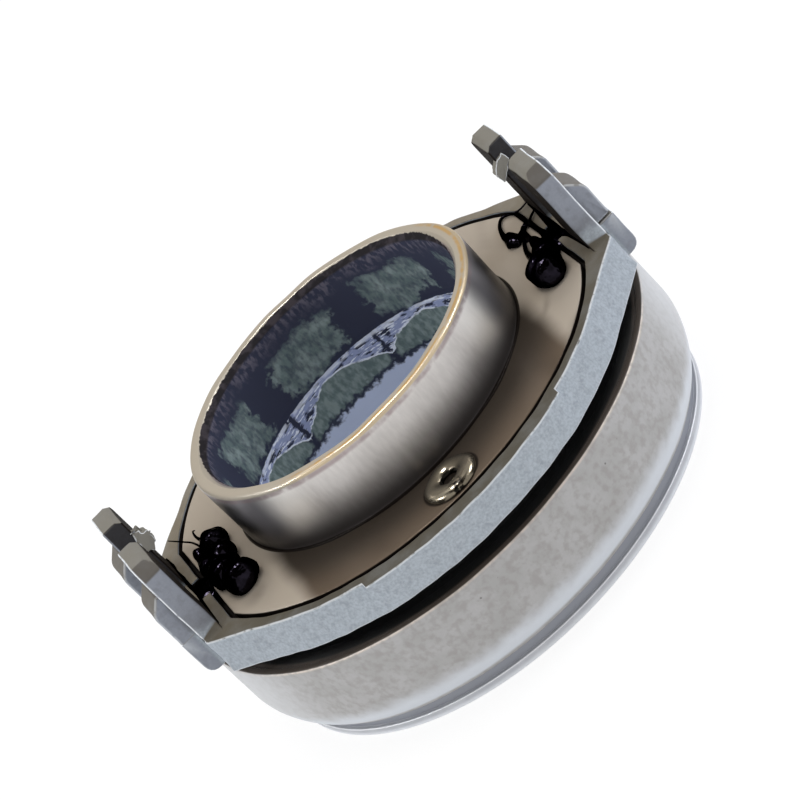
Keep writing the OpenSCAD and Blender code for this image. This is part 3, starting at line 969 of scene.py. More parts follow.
        # The near half, where the painted highlights go.
        near = p.ease(p.lift(p.x, 0.6, p.times(p.y, -0.8)), 2.0, 8.0)
        gold = p.times(p.ease(p.away(out, self.wall_r - 0.52), 0.34, 0.06), near,
                       p.patches(1.5, 0.25, 0.55))
        rim = p.blend(p.patches(0.35, 0.45, 0.7, 4.0), self.rim, self.film, 0.3)
        # Painted pale edge highlight.
        edge = p.times(p.ease(out, self.wall_r - 0.3, self.wall_r - 0.15), near)
        return p.blend(edge, p.blend(gold, rim, self.gold), self.pale_rim)

    def material(self) -> bpy.types.Material:
        """Joins the zones by radius and height: matt bore, satin wall, filmed flange.

        Returns:
            The finished material.
        """
        p = Paint("drawn_steel")
        out = p.out()
        on_flange = p.ease(p.z, self.plate_top + 0.26, self.plate_top + 0.16)
        colour = p.blend(on_flange, self.wall_colour(p), self.flange_colour(p, out))
        on_rim = p.ease(p.z, self.rim_z - 0.5, self.rim_z - 0.32)
        colour = p.blend(on_rim, colour, self.rim_colour(p, out))
        ragged = p.lift(p.ease(p.y, -4.0, 9.0), -0.5, p.lift(p.sway(0.6, 5.0), -0.3, out))
        inside = p.ease(ragged, self.bore_r + 0.15, self.bore_r + 0.05)
        filmed = p.ease(p.z, self.plate_top + 0.4, self.plate_top + 0.2)
        crown = p.ease(p.z, self.rim_z - 0.5, self.rim_z - 0.3)
        matt = p.calc("MAXIMUM", inside, p.times(crown, 0.6))
        matt = p.calc("MAXIMUM", matt, p.times(filmed, 0.85))
        satin = p.lift(p.noise(0.5, 4.0, (1, 1, 0.3)), 0.12, 0.26)
        coated = p.calc("MAXIMUM", filmed, p.times(inside, 0.9))
        return p.done(Base_Color=p.blend(inside, colour, self.bore_colour(p)),
                      Metallic=p.lift(matt, -0.55, 0.6), Roughness=p.lift(inside, 0.4, satin),
                      Specular_IOR_Level=p.lift(coated, -0.37, 0.4),
                      Normal=p.bump(p.noise(0.3, 3.0, (1, 1, 0.4)), 0.004))


@dataclass(frozen=True)
class SkinFinish:
    """A metal or rubber skin with clouds, fine grain, pits and worn edges.

    Attributes:
        name: the material's name.
        body: main screen colour.
        cloud: second colour, in soft clouds.
        edge: colour of worn edges.
        pit: colour of the pits.
        metal: share of metal.
        rough: lowest roughness.
        grain: size of the grain.
        depth: depth of the grain.
        stretch: how much finer the grain is along each axis.
        pits: how many of the possible pits there are, from 0 to 1.
    """

    name: str
    body: Rgb
    cloud: Rgb
    edge: Rgb
    pit: Rgb = (60, 58, 57)
    metal: float = 0.7
    rough: float = 0.3
    grain: float = 0.4
    depth: float = 0.01
    stretch: tuple[float, float, float] = (1.0, 1.0, 1.0)
    pits: float = 0.0

    def marks(self, p: Paint, colour: Socket) -> Socket:
        """Adds a piece's own marks to the colour; a plain skin has none."""
        return colour

    def material(self) -> bpy.types.Material:
        """Mixes clouds, pits, worn edges and the piece's marks over a grainy, pitted bump.

        Returns:
            The finished material.
        """
        p = Paint(self.name)
        grain = p.noise(self.grain, 4.0, self.stretch)
        colour = p.blend(p.patches(3.0, 0.35, 0.65, 4.0), self.body, self.cloud)
        colour = p.blend(p.ease(grain, 0.4, 0.75), colour, self.cloud, 0.35)
        more = 0.3 * self.pits
        pits = p.times(p.spots(0.9, 0.17, 0.07), p.patches(2.0, 0.72 - more, 0.8 - more))
        colour = p.blend(pits, colour, self.pit, 0.7)
        colour = p.blend(p.ease(p.worn(), 0.0, 1.0), colour, self.edge)
        return p.done(Base_Color=self.marks(p, colour), Metallic=self.metal,
                      Normal=p.bump(p.calc("SUBTRACT", grain, pits), self.depth),
                      Roughness=p.lift(grain, 0.2, self.rough))


@dataclass(frozen=True)
class ShellFinish(SkinFinish):
    """Blasted steel of the outer ring: gritty, paler at its foot, with painted light below both ears,
    brown lip.
    """

    grit: Rgb = (147, 143, 140)
    # Painted light: paler steel toward both ears.
    bright: Rgb = (214, 216, 219)
    foot: Rgb = (214, 219, 226)
    lip: Rgb = (72, 62, 54)
    bright_x: tuple[float, float] = (24.5, 30.5)
    foot_z: float = 4.4
    lip_z: float = 13.4

    def marks(self, p: Paint, colour: Socket) -> Socket:
        """Adds the grit, the painted light on both ends, the pale foot with a cloudy border and the
        brown lip.

        Args:
            p: the material's paint.
            colour: the plain skin's colour.

        Returns:
            The colour's socket.
        """
        colour = p.blend(p.patches(0.8, 0.4, 0.68, 4.0), colour, self.grit, 0.55)
        # Painted light on both ends.
        colour = p.blend(p.ease(p.away(p.x), *self.bright_x), colour, self.bright, 0.6)
        height = p.lift(p.sway(2.5, 4.0), 1.4, p.z)
        pale = p.times(p.ease(height, self.foot_z + 2.2, self.foot_z - 0.2),
                       p.ease(p.z, self.foot_z - 1.5, self.foot_z - 0.9))
        colour = p.blend(pale, colour, self.foot, 0.85)
        lip = p.times(p.ease(p.up, 0.75, 0.95), p.ease(p.z, self.lip_z - 0.6, self.lip_z - 0.4))
        return p.blend(lip, colour, self.lip)


@dataclass(frozen=True)
class ThrustFinish(SkinFinish):
    """Ground steel of the thrust ring, pale at its foot, with a blue-grey groove of painted shade above
    its rim.
    """

    pale: Rgb = (236, 239, 244)
    # Painted shade in the groove.
    groove: Rgb = (146, 149, 157)
    pale_z: tuple[float, float] = (0.8, 0.3)
    groove_z: float = 1.15

    def marks(self, p: Paint, colour: Socket) -> Socket:
        """Adds the pale foot and the groove's painted shade by height."""
        colour = p.blend(p.ease(p.z, *self.pale_z), colour, self.pale, 0.7)
        return p.blend(p.ease(p.z, self.groove_z - 0.02, self.groove_z + 0.06), colour, self.groove)


@dataclass(frozen=True)
class SealFinish(SkinFinish):
    """Brown rubber of a seal, painted black as shadow away from its outer edge."""

    seal_shadow: Rgb = (8, 7, 7)
    shadow_edge_r: float = 29.1

    def marks(self, p: Paint, colour: Socket) -> Socket:
        """Paints the shadow inside the outer edge."""
        return p.blend(p.ease(p.out(), self.shadow_edge_r + 0.25, self.shadow_edge_r - 0.25), colour, self.seal_shadow)


@dataclass(frozen=True)
class RivetFinish(SkinFinish):
    """Polished rivet steel, with painted black shade in the hole and a grimy edge away from the bore."""

    grime_and_hole_shade: Rgb = (20, 17, 13)
    axis_y: float = 23.5
    hole_r: float = 1.15

    def marks(self, p: Paint, colour: Socket) -> Socket:
        """Adds the hole's painted black shade and the broken grimy patch by the distance from the
        rivet's own axis.

        Args:
            p: the material's paint.
            colour: the plain skin's colour.

        Returns:
            The colour's socket.
        """
        beside = p.calc("SUBTRACT", p.away(p.y), self.axis_y)
        ahead = p.times(p.ease(beside, 1.7, 2.5), p.patches(0.5, 0.42, 0.55, 4.0),
                        p.ease(p.away(p.x), 1.2, 0.6))
        # Painted shade in the hole.
        hole = p.ease(p.length(p.x, beside), self.hole_r + 0.1, self.hole_r - 0.1)
        return p.blend(p.calc("MAXIMUM", hole, ahead), colour, self.grime_and_hole_shade)


@dataclass(frozen=True)
class GreaseFinish:
    """Black wet grease with a faint purple depth."""

    black: Rgb = (20, 18, 23)
    deep: Rgb = (32, 29, 37)

    def material(self) -> bpy.types.Material:
        """Mixes two blacks over a soft uneven skin that mirrors little, and nothing at its edges.

        Returns:
            The finished material.
        """
        p = Paint("black_grease")
        cloud = p.noise(1.2, 3.0)
        return p.done(Base_Color=p.blend(p.ease(cloud, 0.45, 0.7), self.black, self.deep),
                      Roughness=p.lift(cloud, 0.1, 0.05), Metallic=1.0, Specular_Tint=(0, 0, 0),
                      Normal=p.bump(p.noise(0.9, 2.0), 0.16))


CAST = CastFinish()
STEEL = SleeveFinish()
RIVET = RivetFinish("rivet_steel", (132, 124, 108), (112, 104, 90), (150, 140, 120), metal=0.9,
                    rough=0.1, grain=0.8, depth=0.003)
SHELL = ShellFinish("shell_steel", (174, 173, 173), (165, 164, 163), (204, 192, 180), metal=0.12,
                    rough=0.42, grain=0.3, depth=0.01, pits=0.3)
THRUST = ThrustFinish("thrust_steel", (192, 194, 199), (180, 182, 188), (240, 242, 245), metal=0.25,
                      rough=0.34, grain=0.25, depth=0.006, stretch=(0.3, 0.3, 3.0))
RUBBER = SealFinish("seal_rubber", (84, 72, 62), (70, 60, 52), (90, 78, 68), metal=0.0, rough=0.6,
                    grain=0.2, depth=0.01)
SPRING = SkinFinish("spring_steel", (98, 100, 108), (76, 78, 86), (150, 152, 158), metal=0.8,
                    rough=0.28, grain=0.3, depth=0.006)
RACE = SkinFinish("race_steel", (172, 174, 178), (154, 156, 160), (214, 216, 220), metal=0.9,
                  rough=0.2, grain=0.25, depth=0.004, stretch=(0.4, 0.4, 2.5))
BALL = SkinFinish("ball_steel", (214, 216, 220), (196, 198, 204), (240, 240, 242), metal=1.0,
                  rough=0.06, grain=0.5, depth=0.001)
NYLON = SkinFinish("cage_nylon", (206, 190, 150), (190, 172, 130), (222, 208, 172), metal=0.0,
                   rough=0.42, grain=0.4, depth=0.01)
GREASE = GreaseFinish()


@dataclass
class Piece:
    """A new piece of the object: its name, surface, the body it rides on, slot and CAD nodes."""

    name: str
    shell: Shell
    body: Body
    slot: str
    nodes: tuple[str, ...]

    def place(self, material: bpy.types.Material, sharp: float = 38.0) -> None:
        """Puts the piece into the scene in metres, dressed, on its body.

        Args:
            material: its finish.
            sharp: angle in degrees above which an edge stays sharp.
        """
        low, high = (np.array(corner) for corner in CAD_BOX)
        points = np.clip(self.shell.points * MM, low, high)
        mesh = bpy.data.meshes.new(self.name)
        mesh.from_pydata(points.tolist(), [], self.shell.quads.tolist() + self.shell.caps)
        worn = mesh.attributes.new("wear", "FLOAT", "POINT")
        worn.data.foreach_set("value", self.shell.wear.astype(np.float32))
        mesh.shade_smooth()
        mesh.set_sharp_from_angle(angle=np.radians(sharp))
        mesh.materials.append(material)
        piece = bpy.data.objects.new(self.name, mesh)
        bpy.context.scene.collection.objects.link(piece)
        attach(piece, self.body.value)
        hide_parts(*self.nodes)
        LOG.info("%s: %d faces on %s", self.name, len(mesh.polygons), self.body.value)


@dataclass
class CastCarrier:
    """Cast carrier: a drafted plate with side lugs and tapered ends, two forked ears with pads."""

    bottom: float = 15.4
    top: float = 19.4
    recess_z: float = 17.4
    bore_r: float = 19.15
    round_r: float = 29.2
    draft: float = 0.9
    lug_r: float = 30.3
    lug_half: float = 13.8
    lug_swell: float = 0.09
    tooth: float = 1.2
    side_r: float = 29.16
    side_angle: float = 0.7205
    end_x: float = 29.8
    end_half: float = 10.0
    recess_r: float = 27.95
    recess_flat: float = 26.1
    slot_half: float = 2.2
    ear_x: float = 27.4
    ear_half: float = 9.6
    ear_h: float = 11.05
    ear_chamfer: float = 1.55
    ear_bevel: float = 0.7
    foot: float = 1.3
    outer_foot: float = 0.3
    toe: float = 0.05
    root: float = 0.6
    notch_half: float = 3.0
    pad_x: float = 31.8
    pad_span: tuple[float, float] = (3.4, 8.6)
    pad_top: float = 26.4
    pad_slope: float = 1.6
    pad_round: float = 1.4
    pad_step: float = 0.15
    pad_root: float = 0.5
    seam_z: float = 20.4
    flash_span: tuple[float, float] = (2.75, 3.75)
    flash_edge: float = 0.12
    flash_right: tuple[tuple[float, float], ...] = (
        (28.5, 9.45), (28.7, 8.5), (27.6, 7.5), (26.75, 6.6), (26.45, 8.25), (27.3, 9.15))
    flash_left: tuple[tuple[float, float], ...] = (
        (27.4, 9.05), (26.8, 8.75), (26.4, 8.2), (26.0, 7.45), (26.35, 6.3), (27.35, 5.5),
        (28.0, 6.0), (27.7, 7.9))
    ripple: Ripple = Ripple(4.0, 0.035, 11)

    def edges(self, angles: Array) -> tuple[Array, Array, Array, Array]:
        """Works out the plate's outlines as radii at each angle.

        The round is widened to the tapered end, the smaller of the end plane end_x / cos a and the
        side plane side_r / cos(a - side_angle), and to the lug, the smaller of lug_r and
        lug_half / cos a. Below its tooth the lug swells softly over lug_swell instead. The recess is
        the flatted disc, widened by the slot.

        Args:
            angles: angles from the X axis in radians.

        Returns:
            Radii of the top edge, the tooth's foot, the bottom edge and the recess.
        """
        cos, sin = np.abs(np.cos(angles)) + TINY, np.abs(np.sin(angles)) + TINY
        a = np.arctan2(sin, cos)
        swell = (a - np.arccos(self.lug_half / self.lug_r)) / self.lug_swell / 2 + 0.5
        swell = np.clip(swell, 0, 1) ** 2 * (3 - 2 * np.clip(swell, 0, 1))
        found = []
        for draft in (0.0, self.draft):
            end = np.minimum(self.end_x / cos, (self.side_r + draft) / np.cos(a - self.side_angle))
            plain = np.maximum(self.round_r + draft, np.where(a < self.side_angle, end, 0))
            found += [plain, plain + np.maximum(self.lug_r - plain, 0) * swell]
        top = np.maximum(found[0], np.minimum(self.lug_r, self.lug_half / cos))
        recess = np.minimum(self.recess_r, self.recess_flat / cos)
        slot = np.minimum(self.ear_x / cos, self.slot_half / sin)
        share = self.tooth / (self.top - self.bottom)
        middle = found[1] * (1 - share) + found[3] * share
        return top, middle, found[3], np.maximum(recess, slot)

    def plate(self) -> Shell:
        """Makes the plate as one ring whose section changes with the angle.

        Returns:
            The plate's surface.
        """
        keys = [np.arctan2(self.slot_half, self.ear_x), np.arctan2(self.slot_half, self.recess_flat),
                np.arccos(self.recess_flat / self.recess_r), np.arctan2(self.end_half, self.end_x),
                np.arccos(self.lug_half / self.round_r), np.arccos(self.lug_half / self.lug_r)]
        angles = full_turn(540, keys)
        high, middle, low, recess = self.edges(angles)
        return ring([Corner(self.bore_r, self.bottom, fill=3),
                     Corner(low, self.bottom, 0.25, 4, 0.5),
                     Corner(middle, self.top - self.tooth, fill=2),
                     Corner(high, self.top, 0.22, 2, 0.6),
                     # Negative wear paints shade on the recess and in its groove.
                     Corner(recess, self.top, 0.1, 0, -0.3),
                     Corner(recess, self.top - 0.2, wear=-1.0),
                     Corner(recess, self.recess_z, wear=-1.0),
                     Corner(self.bore_r, self.recess_z, wear=-1.0)], angles)

    def prong(self) -> Shell:
        """Makes the prong on the +X end and +Y side, with a foot fillet that narrows outwards.

        Its inner top edge is bevelled: no point is higher than top + ear_h - ear_bevel + (x - ear_x).

        Returns:
            The prong's surface.
        """
        z0, z1 = self.top - self.root, self.top + self.ear_h
        faces = []
        for foot in (self.foot, self.outer_foot):
            toe = self.ear_half + foot + self.toe
            # Negative wear paints shade on the foot fillet and on the notch wall.
            faces.append(outline([Corner(self.notch_half, z0, fill=3),
                                  Corner(toe, z0),
                                  Corner(toe, self.top),
                                  Corner(self.ear_half, self.top, foot, 6, -0.25),
                                  Corner(self.ear_half, z1 - self.ear_chamfer, 0.35, 1),
                                  Corner(self.ear_half - self.ear_chamfer, z1, 0.35, 3),
                                  Corner(self.notch_half, z1, 0.25, 8, soil_and_shade=0.7)]))
        # The inner face's -0.9 paints shade on it.
        shell = slab(faces[0], faces[1], (self.ear_x, self.end_x), 0.22, Axis.X, (-0.9, 0.0),
                     (0.1, 0.9))
        bevel = z1 - self.ear_bevel + shell.points[:, 0] - self.ear_x
        shell.points[:, 2] = np.minimum(shell.points[:, 2], bevel)
        return shell

    def pad_foot(self, side: Side) -> Shell:
        """Makes the pad's lower part, up to its seam, with a round lower corner.

        Args:
            side: the end of the carrier.

        Returns:
            The part's surface.
        """
        inner = self.end_x - self.pad_root
        shape = outline([Corner(inner, self.bottom, fill=2),
                         Corner(self.pad_x, self.bottom, self.pad_round, 3),
                         Corner(self.pad_x, self.seam_z, 0.16, 2, 0.7),
                         Corner(inner, self.seam_z, fill=3)])
        wide = 0.1 if side is Side.RIGHT else 0.03
        return slab(shape, shape, (self.pad_span[0] - wide, self.pad_span[1] + wide), 0.15, Axis.Y,
                    rims=(0.4, 0.4))

    def pad_body(self, side: Side) -> Shell:
        """Makes the pad above its seam, a little narrower, with a sloped top corner.

        Args:
            side: the end of the carrier; only the right one has an open seam.

        Returns:
            The part's surface.
        """
        split = side is Side.RIGHT
        inner, out = self.end_x - self.pad_root, self.pad_x - (self.pad_step if split else 0.03)
        low = self.seam_z + (0.12 if split else -0.4)
        shape = outline([Corner(inner, low, fill=2), Corner(out, low, 0.3, 4, -0.6 if split else 0.0),
                         Corner(out, self.pad_top - self.pad_slope, 0.7, 2),
                         Corner(out - self.pad_slope, self.pad_top, 0.12, 0),
                         Corner(inner, self.pad_top, fill=4)])
        return slab(shape, shape, self.pad_span, 0.3, Axis.Y, rims=(0.4, 0.4))

    def flash(self, side: Side) -> Shell:
        """Makes the ragged casting flash on the far prong's inner notch edge.

        Args:
            side: the end of the carrier.

        Returns:
            The flash's surface.
        """
        places = self.flash_right if side is Side.RIGHT else self.flash_left
        shape = outline([Corner(x, self.top + z, self.flash_edge, 3) for x, z in places])
        chip = slab(shape, shape, self.flash_span, self.flash_edge, Axis.Y, rims=(0.8, 0.0))
        rough = Ripple(0.9, 0.16 if side is Side.LEFT else 0.05, 5)
        return Shell(rough.moved(chip.points), chip.quads, chip.caps, chip.wear)

    def build(self) -> Shell:
        """Joins the plate, prongs, pads and flash, and gives them one cast unevenness.

        Returns:
            The carrier's surface.
        """
        shells = [self.plate()]
        for side in Side:
            parts = [self.prong(), self.pad_foot(side), self.pad_body(side)]
            shells += [part.mirrored(side.value, y) for part in parts for y in (1, -1)]
            shells.append(self.flash(side).mirrored(side.value))
        cast = Shell.joined(shells)
        cast.points = self.ripple.moved(cast.points)
        return cast

    def dress(self) -> None:
        """Places the carrier in its cast finish."""
        piece = Piece("cast_carrier", self.build(), Body.CARRIER, "cast_alloy", ("carrier",))
        piece.place(CAST.material())


@dataclass
class GuideSleeve:
    """Drawn guide sleeve with a flatted flange, and the two tubular rivets that hold it."""

    bore_r: float = 17.0
    wall_r: float = 19.0
    foot_z: float = 0.65
    rim_z: float = 28.0
    chamfer: float = 0.7
    rim_round: float = 0.55
    fillet: float = 0.3
    flange_r: float = 27.35
    flange_flat: float = 25.5
    flange_low: float = 17.4
    flange_top: float = 19.4
    groove: tuple[float, float, float] = (18.2, 1.25, 2.15)
    rivet_y: float = 23.5
    rivet_shank: float = 1.9
    rivet_hole: float = 0.9
    rivet_head: float = 3.3
    rivet_rise: float = 0.75
    rivet_low: float = 16.5
    rivet_lobe: float = 0.08
    rivet_lift: float = 0.02
    ripple: Ripple = Ripple(7.0, 0.04, 3)

    def tube(self) -> Shell:
        """Makes the sleeve as one ring; the flange's radius is the smaller of disc and flat / cos.

        Returns:
            The sleeve's surface.
        """
        angles = full_turn(480, [np.arccos(self.flange_flat / self.flange_r)])
        edge = np.minimum(self.flange_r, self.flange_flat / (np.abs(np.cos(angles)) + TINY))
        inner, low, high = self.groove
        section = [Corner(self.bore_r, self.foot_z + self.chamfer, fill=30),
                   Corner(self.bore_r, self.rim_z - self.chamfer, 0.1),
                   Corner(self.bore_r + self.chamfer, self.rim_z, 0.1, 2),
                   Corner(self.wall_r, self.rim_z, self.rim_round, 8, 1.0),
                   Corner(self.wall_r, self.flange_top, self.fillet, 6),
                   Corner(edge, self.flange_top, 0.22, 1, 0.7),
                   Corner(edge, self.flange_low),
                   Corner(self.wall_r, self.flange_low, fill=2),
                   Corner(self.wall_r, high), Corner(inner, high),
                   Corner(inner, low), Corner(self.wall_r, low),
                   Corner(self.wall_r, self.foot_z, 0.1),
                   Corner(self.bore_r + self.chamfer, self.foot_z)]
        shell = ring(section, angles)
        shell.points = self.ripple.moved(shell.points)
        return shell

    def rivet(self, side: int) -> Shell:
        """Makes one rolled rivet head on its shank: a half-round ring, uneven in four lobes.

        The ring is (middle + half cos t + lobe sin t, base + rise sin t) over the head's width.

        Args:
            side: 1 or -1, the rivet's place along Y.

        Returns:
            The rivet's surface.
        """
        angles = full_turn(120)
        lobe = self.rivet_lobe * np.cos(4 * angles + 0.5)
        base, rise = self.flange_top + self.rivet_lift, self.rivet_rise - self.rivet_lift
        middle, half = (self.rivet_hole + self.rivet_head) / 2, (self.rivet_head - self.rivet_hole) / 2
        t = np.linspace(np.pi, 0, 15)
        crown = [Corner(middle + half * c + lobe * s, base + rise * s)
                 for c, s in zip(np.cos(t), np.sin(t))]
        section = [Corner(self.rivet_hole, self.rivet_low, fill=3), *crown,
                   Corner(self.rivet_shank, base), Corner(self.rivet_shank, self.rivet_low)]
        return ring(section, angles, (0.0, side * self.rivet_y))

    def dress(self) -> None:
        """Places the sleeve and its rivets."""
        sleeve = Piece("drawn_sleeve", self.tube(), Body.CARRIER, "sleeve_steel", ("guide_sleeve",))
        rivets = Shell.joined([self.rivet(1), self.rivet(-1)])
        heads = Piece("rolled_rivets", rivets, Body.CARRIER, "rivet_steel", ("sleeve_rivets",))
        sleeve.place(STEEL.material())
        heads.place(RIVET.material())


@dataclass
class BallBearing:
    """Rotating outer ring with its seals and thrust ring; the inner pieces keep their CAD shapes."""

    outer_r: float = 30.78
    foot_r: float = 28.93
    foot_z: float = 2.55
    lip_z: float = 13.4
    lip_round: float = 0.35
    corner: tuple[float, float, float] = (23.68, 7.33, 7.1)
    seat_r: float = 29.88
    seat_z: float = 12.2
    race: tuple[float, float, float] = (25.285, 7.645, 3.245)
    bore_r: float = 23.985
    floor_z: float = 4.4
    thrust_r: float = 28.58
    neck_r: float = 28.08
    rim_h: float = 1.15
    thrust_round: float = 0.45
    seal_in: float = 25.34
    seal_groove: tuple[float, float, float, float] = (27.6, 27.3, 25.9, 25.6)
    seal_dip: float = 0.25
    seal_h: float = 0.8
    lower_seal_in: float = 22.39
    lower_seal_z: float = 3.4
    bead_r: tuple[float, float] = (22.9, 23.1)
    bead_h: float = 0.2
    clearance: float = 0.05
    spring: tuple[float, float, float, float] = (20.44, 23.44, 14.7, 0.5)
    spring_swing: float = 0.35
    spring_waves: int = 4
    balls: int = 18
    ripple: Ripple = Ripple(9.0, 0.03, 4)

    def arc(self, centre: tuple[float, float, float], start: float, end: float,
            count: int) -> list[Corner]:
        """Gives corners along a round: (cx + R cos t, cz + R sin t).

        Args:
            centre: its middle and radius.
            start: first angle in radians.
            end: last angle.
            count: number of corners.

        Returns:
            The corners.
        """
        x, z, radius = centre
        t = np.linspace(start, end, count)
        return [Corner(float(x + radius * np.cos(k)), float(z + radius * np.sin(k))) for k in t]

    def bowl(self) -> Shell:
        """Makes the outer ring: bowl outside, ball race inside, seat for the upper seal.

        Returns:
            The ring's surface.
        """
        x, _, radius = self.corner
        start = float(-np.arccos((self.foot_r - x) / radius))
        section = [Corner(self.bore_r, self.foot_z, 0.15, 2), Corner(self.foot_r - 0.2, self.foot_z),
                   Corner(self.foot_r, self.foot_z + 0.06, wear=1.0)]
        section += self.arc(self.corner, start + 0.04, 0.0, 18)
        section += [Corner(self.outer_r, self.lip_z, self.lip_round, 1, 0.8),
                    Corner(self.seat_r, self.lip_z, 0.12), Corner(self.seat_r, self.seat_z),
                    Corner(self.race[0] + self.race[2], self.seat_z, fill=2)]
        section += self.arc(self.race, 0.0, -np.pi / 2, 12)
        section.append(Corner(self.bore_r, self.floor_z))
        shell = ring(section, full_turn(360))
        shell.points = self.ripple.moved(shell.points)
        return shell

    def thrust(self) -> Shell:
        """Makes the thrust ring: flat face, rounded rim, groove above it.

        Returns:
            The ring's surface.
        """
        inner = self.bore_r - self.clearance
        return ring([Corner(inner, 0.0, self.thrust_round, 4),
                     Corner(self.thrust_r, 0.0, self.thrust_round, 2, 0.6),
                     Corner(self.thrust_r, self.rim_h, 0.16, 0, 0.9),
                     Corner(self.neck_r, self.rim_h, 0.1, 1), Corner(self.neck_r, self.foot_z),
                     Corner(inner, self.foot_z)], full_turn(300))

    def seals(self) -> tuple[Shell, Shell]:
        """Makes the upper seal with its groove and the lower seal with its bead.

        Returns:
            Both surfaces.
        """
        low, high, angles = self.seat_z, self.seat_z + self.seal_h, full_turn(240)
        edge, dip = self.seat_r - self.clearance, high - self.seal_dip
        groove = self.seal_groove
        upper = ring([Corner(self.seal_in, low), Corner(edge, low), Corner(edge, high, 0.15, 2),
                      Corner(groove[0], high, 0.1), Corner(groove[1], dip, 0.1, 2),
                      Corner(groove[2], dip, 0.1), Corner(groove[3], high, 0.12),
                      Corner(self.seal_in, high, 0.1)], angles)
        low, high, edge = self.lower_seal_z, self.floor_z, self.bore_r - self.clearance
        step = low + self.bead_h
        lower = ring([Corner(self.lower_seal_in, low, 0.12), Corner(self.bead_r[0], low, 0.12),
                      Corner(self.bead_r[1], step, 0.1), Corner(edge, step, 0.1),
                      Corner(edge, high), Corner(self.lower_seal_in, high)], angles)
        return upper, lower

    def wave_wire(self) -> Shell:
        """Makes the wave spring: a flat wire ring whose height is swing times sin(waves a).

        Returns:
            The spring's surface.
        """
        inner, outer, middle, thick = self.spring
        angles = full_turn(288)
        return flat_ring((inner, outer, middle - thick / 2, middle + thick / 2), (0.08, 0.08), angles,
                         wave=self.spring_swing * np.sin(self.spring_waves * angles))

    def dress(self) -> None:
        """Places the new pieces and dresses the inner CAD nodes."""
        upper, lower = self.seals()
        pieces = [(Piece("outer_bowl", self.bowl(), Body.OUTER, "shell_steel", ("outer_ring",)),
                   SHELL),
                  (Piece("thrust_rim", self.thrust(), Body.OUTER, "thrust_steel", ("thrust_ring",)),
                   THRUST),
                  (Piece("upper_seal_lip", upper, Body.OUTER, "seal_rubber", ("upper_seal",)), RUBBER),
                  (Piece("lower_seal_lip", lower, Body.OUTER, "seal_rubber", ("lower_seal",)), RUBBER),
                  (Piece("wave_wire", self.wave_wire(), Body.SPRING, "spring_steel",
                         ("wave_spring",)), SPRING)]
        made = {finish.name: finish.material() for finish in (SHELL, THRUST, RUBBER, SPRING)}
        for piece, finish in pieces:
            piece.place(made[finish.name])
        ball = BALL.material()
        kept = {"inner_ring": RACE.material(), "ball_cage": NYLON.material()}
        kept |= {f"ball_{i:02d}": ball for i in range(1, self.balls + 1)}
        for node, material in kept.items():
            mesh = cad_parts[node].data
            mesh.materials.clear()
            mesh.materials.append(material)
        LOG.info("dressed %d inner CAD nodes", len(kept))


@dataclass
class Retainer:
    """Washer and open snap ring at the sleeve's lower end."""

    washer: tuple[float, float, float, float] = (19.05, 22.6, 2.15, 2.95)
    snap: tuple[float, float, float, float] = (18.25, 20.2, 1.25, 2.15)
    gap: float = 5.0

    def dress(self) -> None:
        """Places both rings; the snap ring's gap is the angle asin(half gap / middle radius)."""
        disc = flat_ring(self.washer, (0.08, 0.12), full_turn(180), 0.5)
        Piece("washer_disc", disc, Body.CARRIER, "race_steel", ("retaining_washer",)).place(
            RACE.material())
        inner, outer, _, _ = self.snap
        half = np.arcsin(self.gap / (inner + outer))
        angles = np.linspace(half, 2 * np.pi - half, 170)
        wire = flat_ring(self.snap, (0.12, 0.16), angles, 0.6, gap=True)
        Piece("snap_wire", wire, Body.CARRIER, "spring_steel", ("snap_ring",)).place(
            SPRING.material())


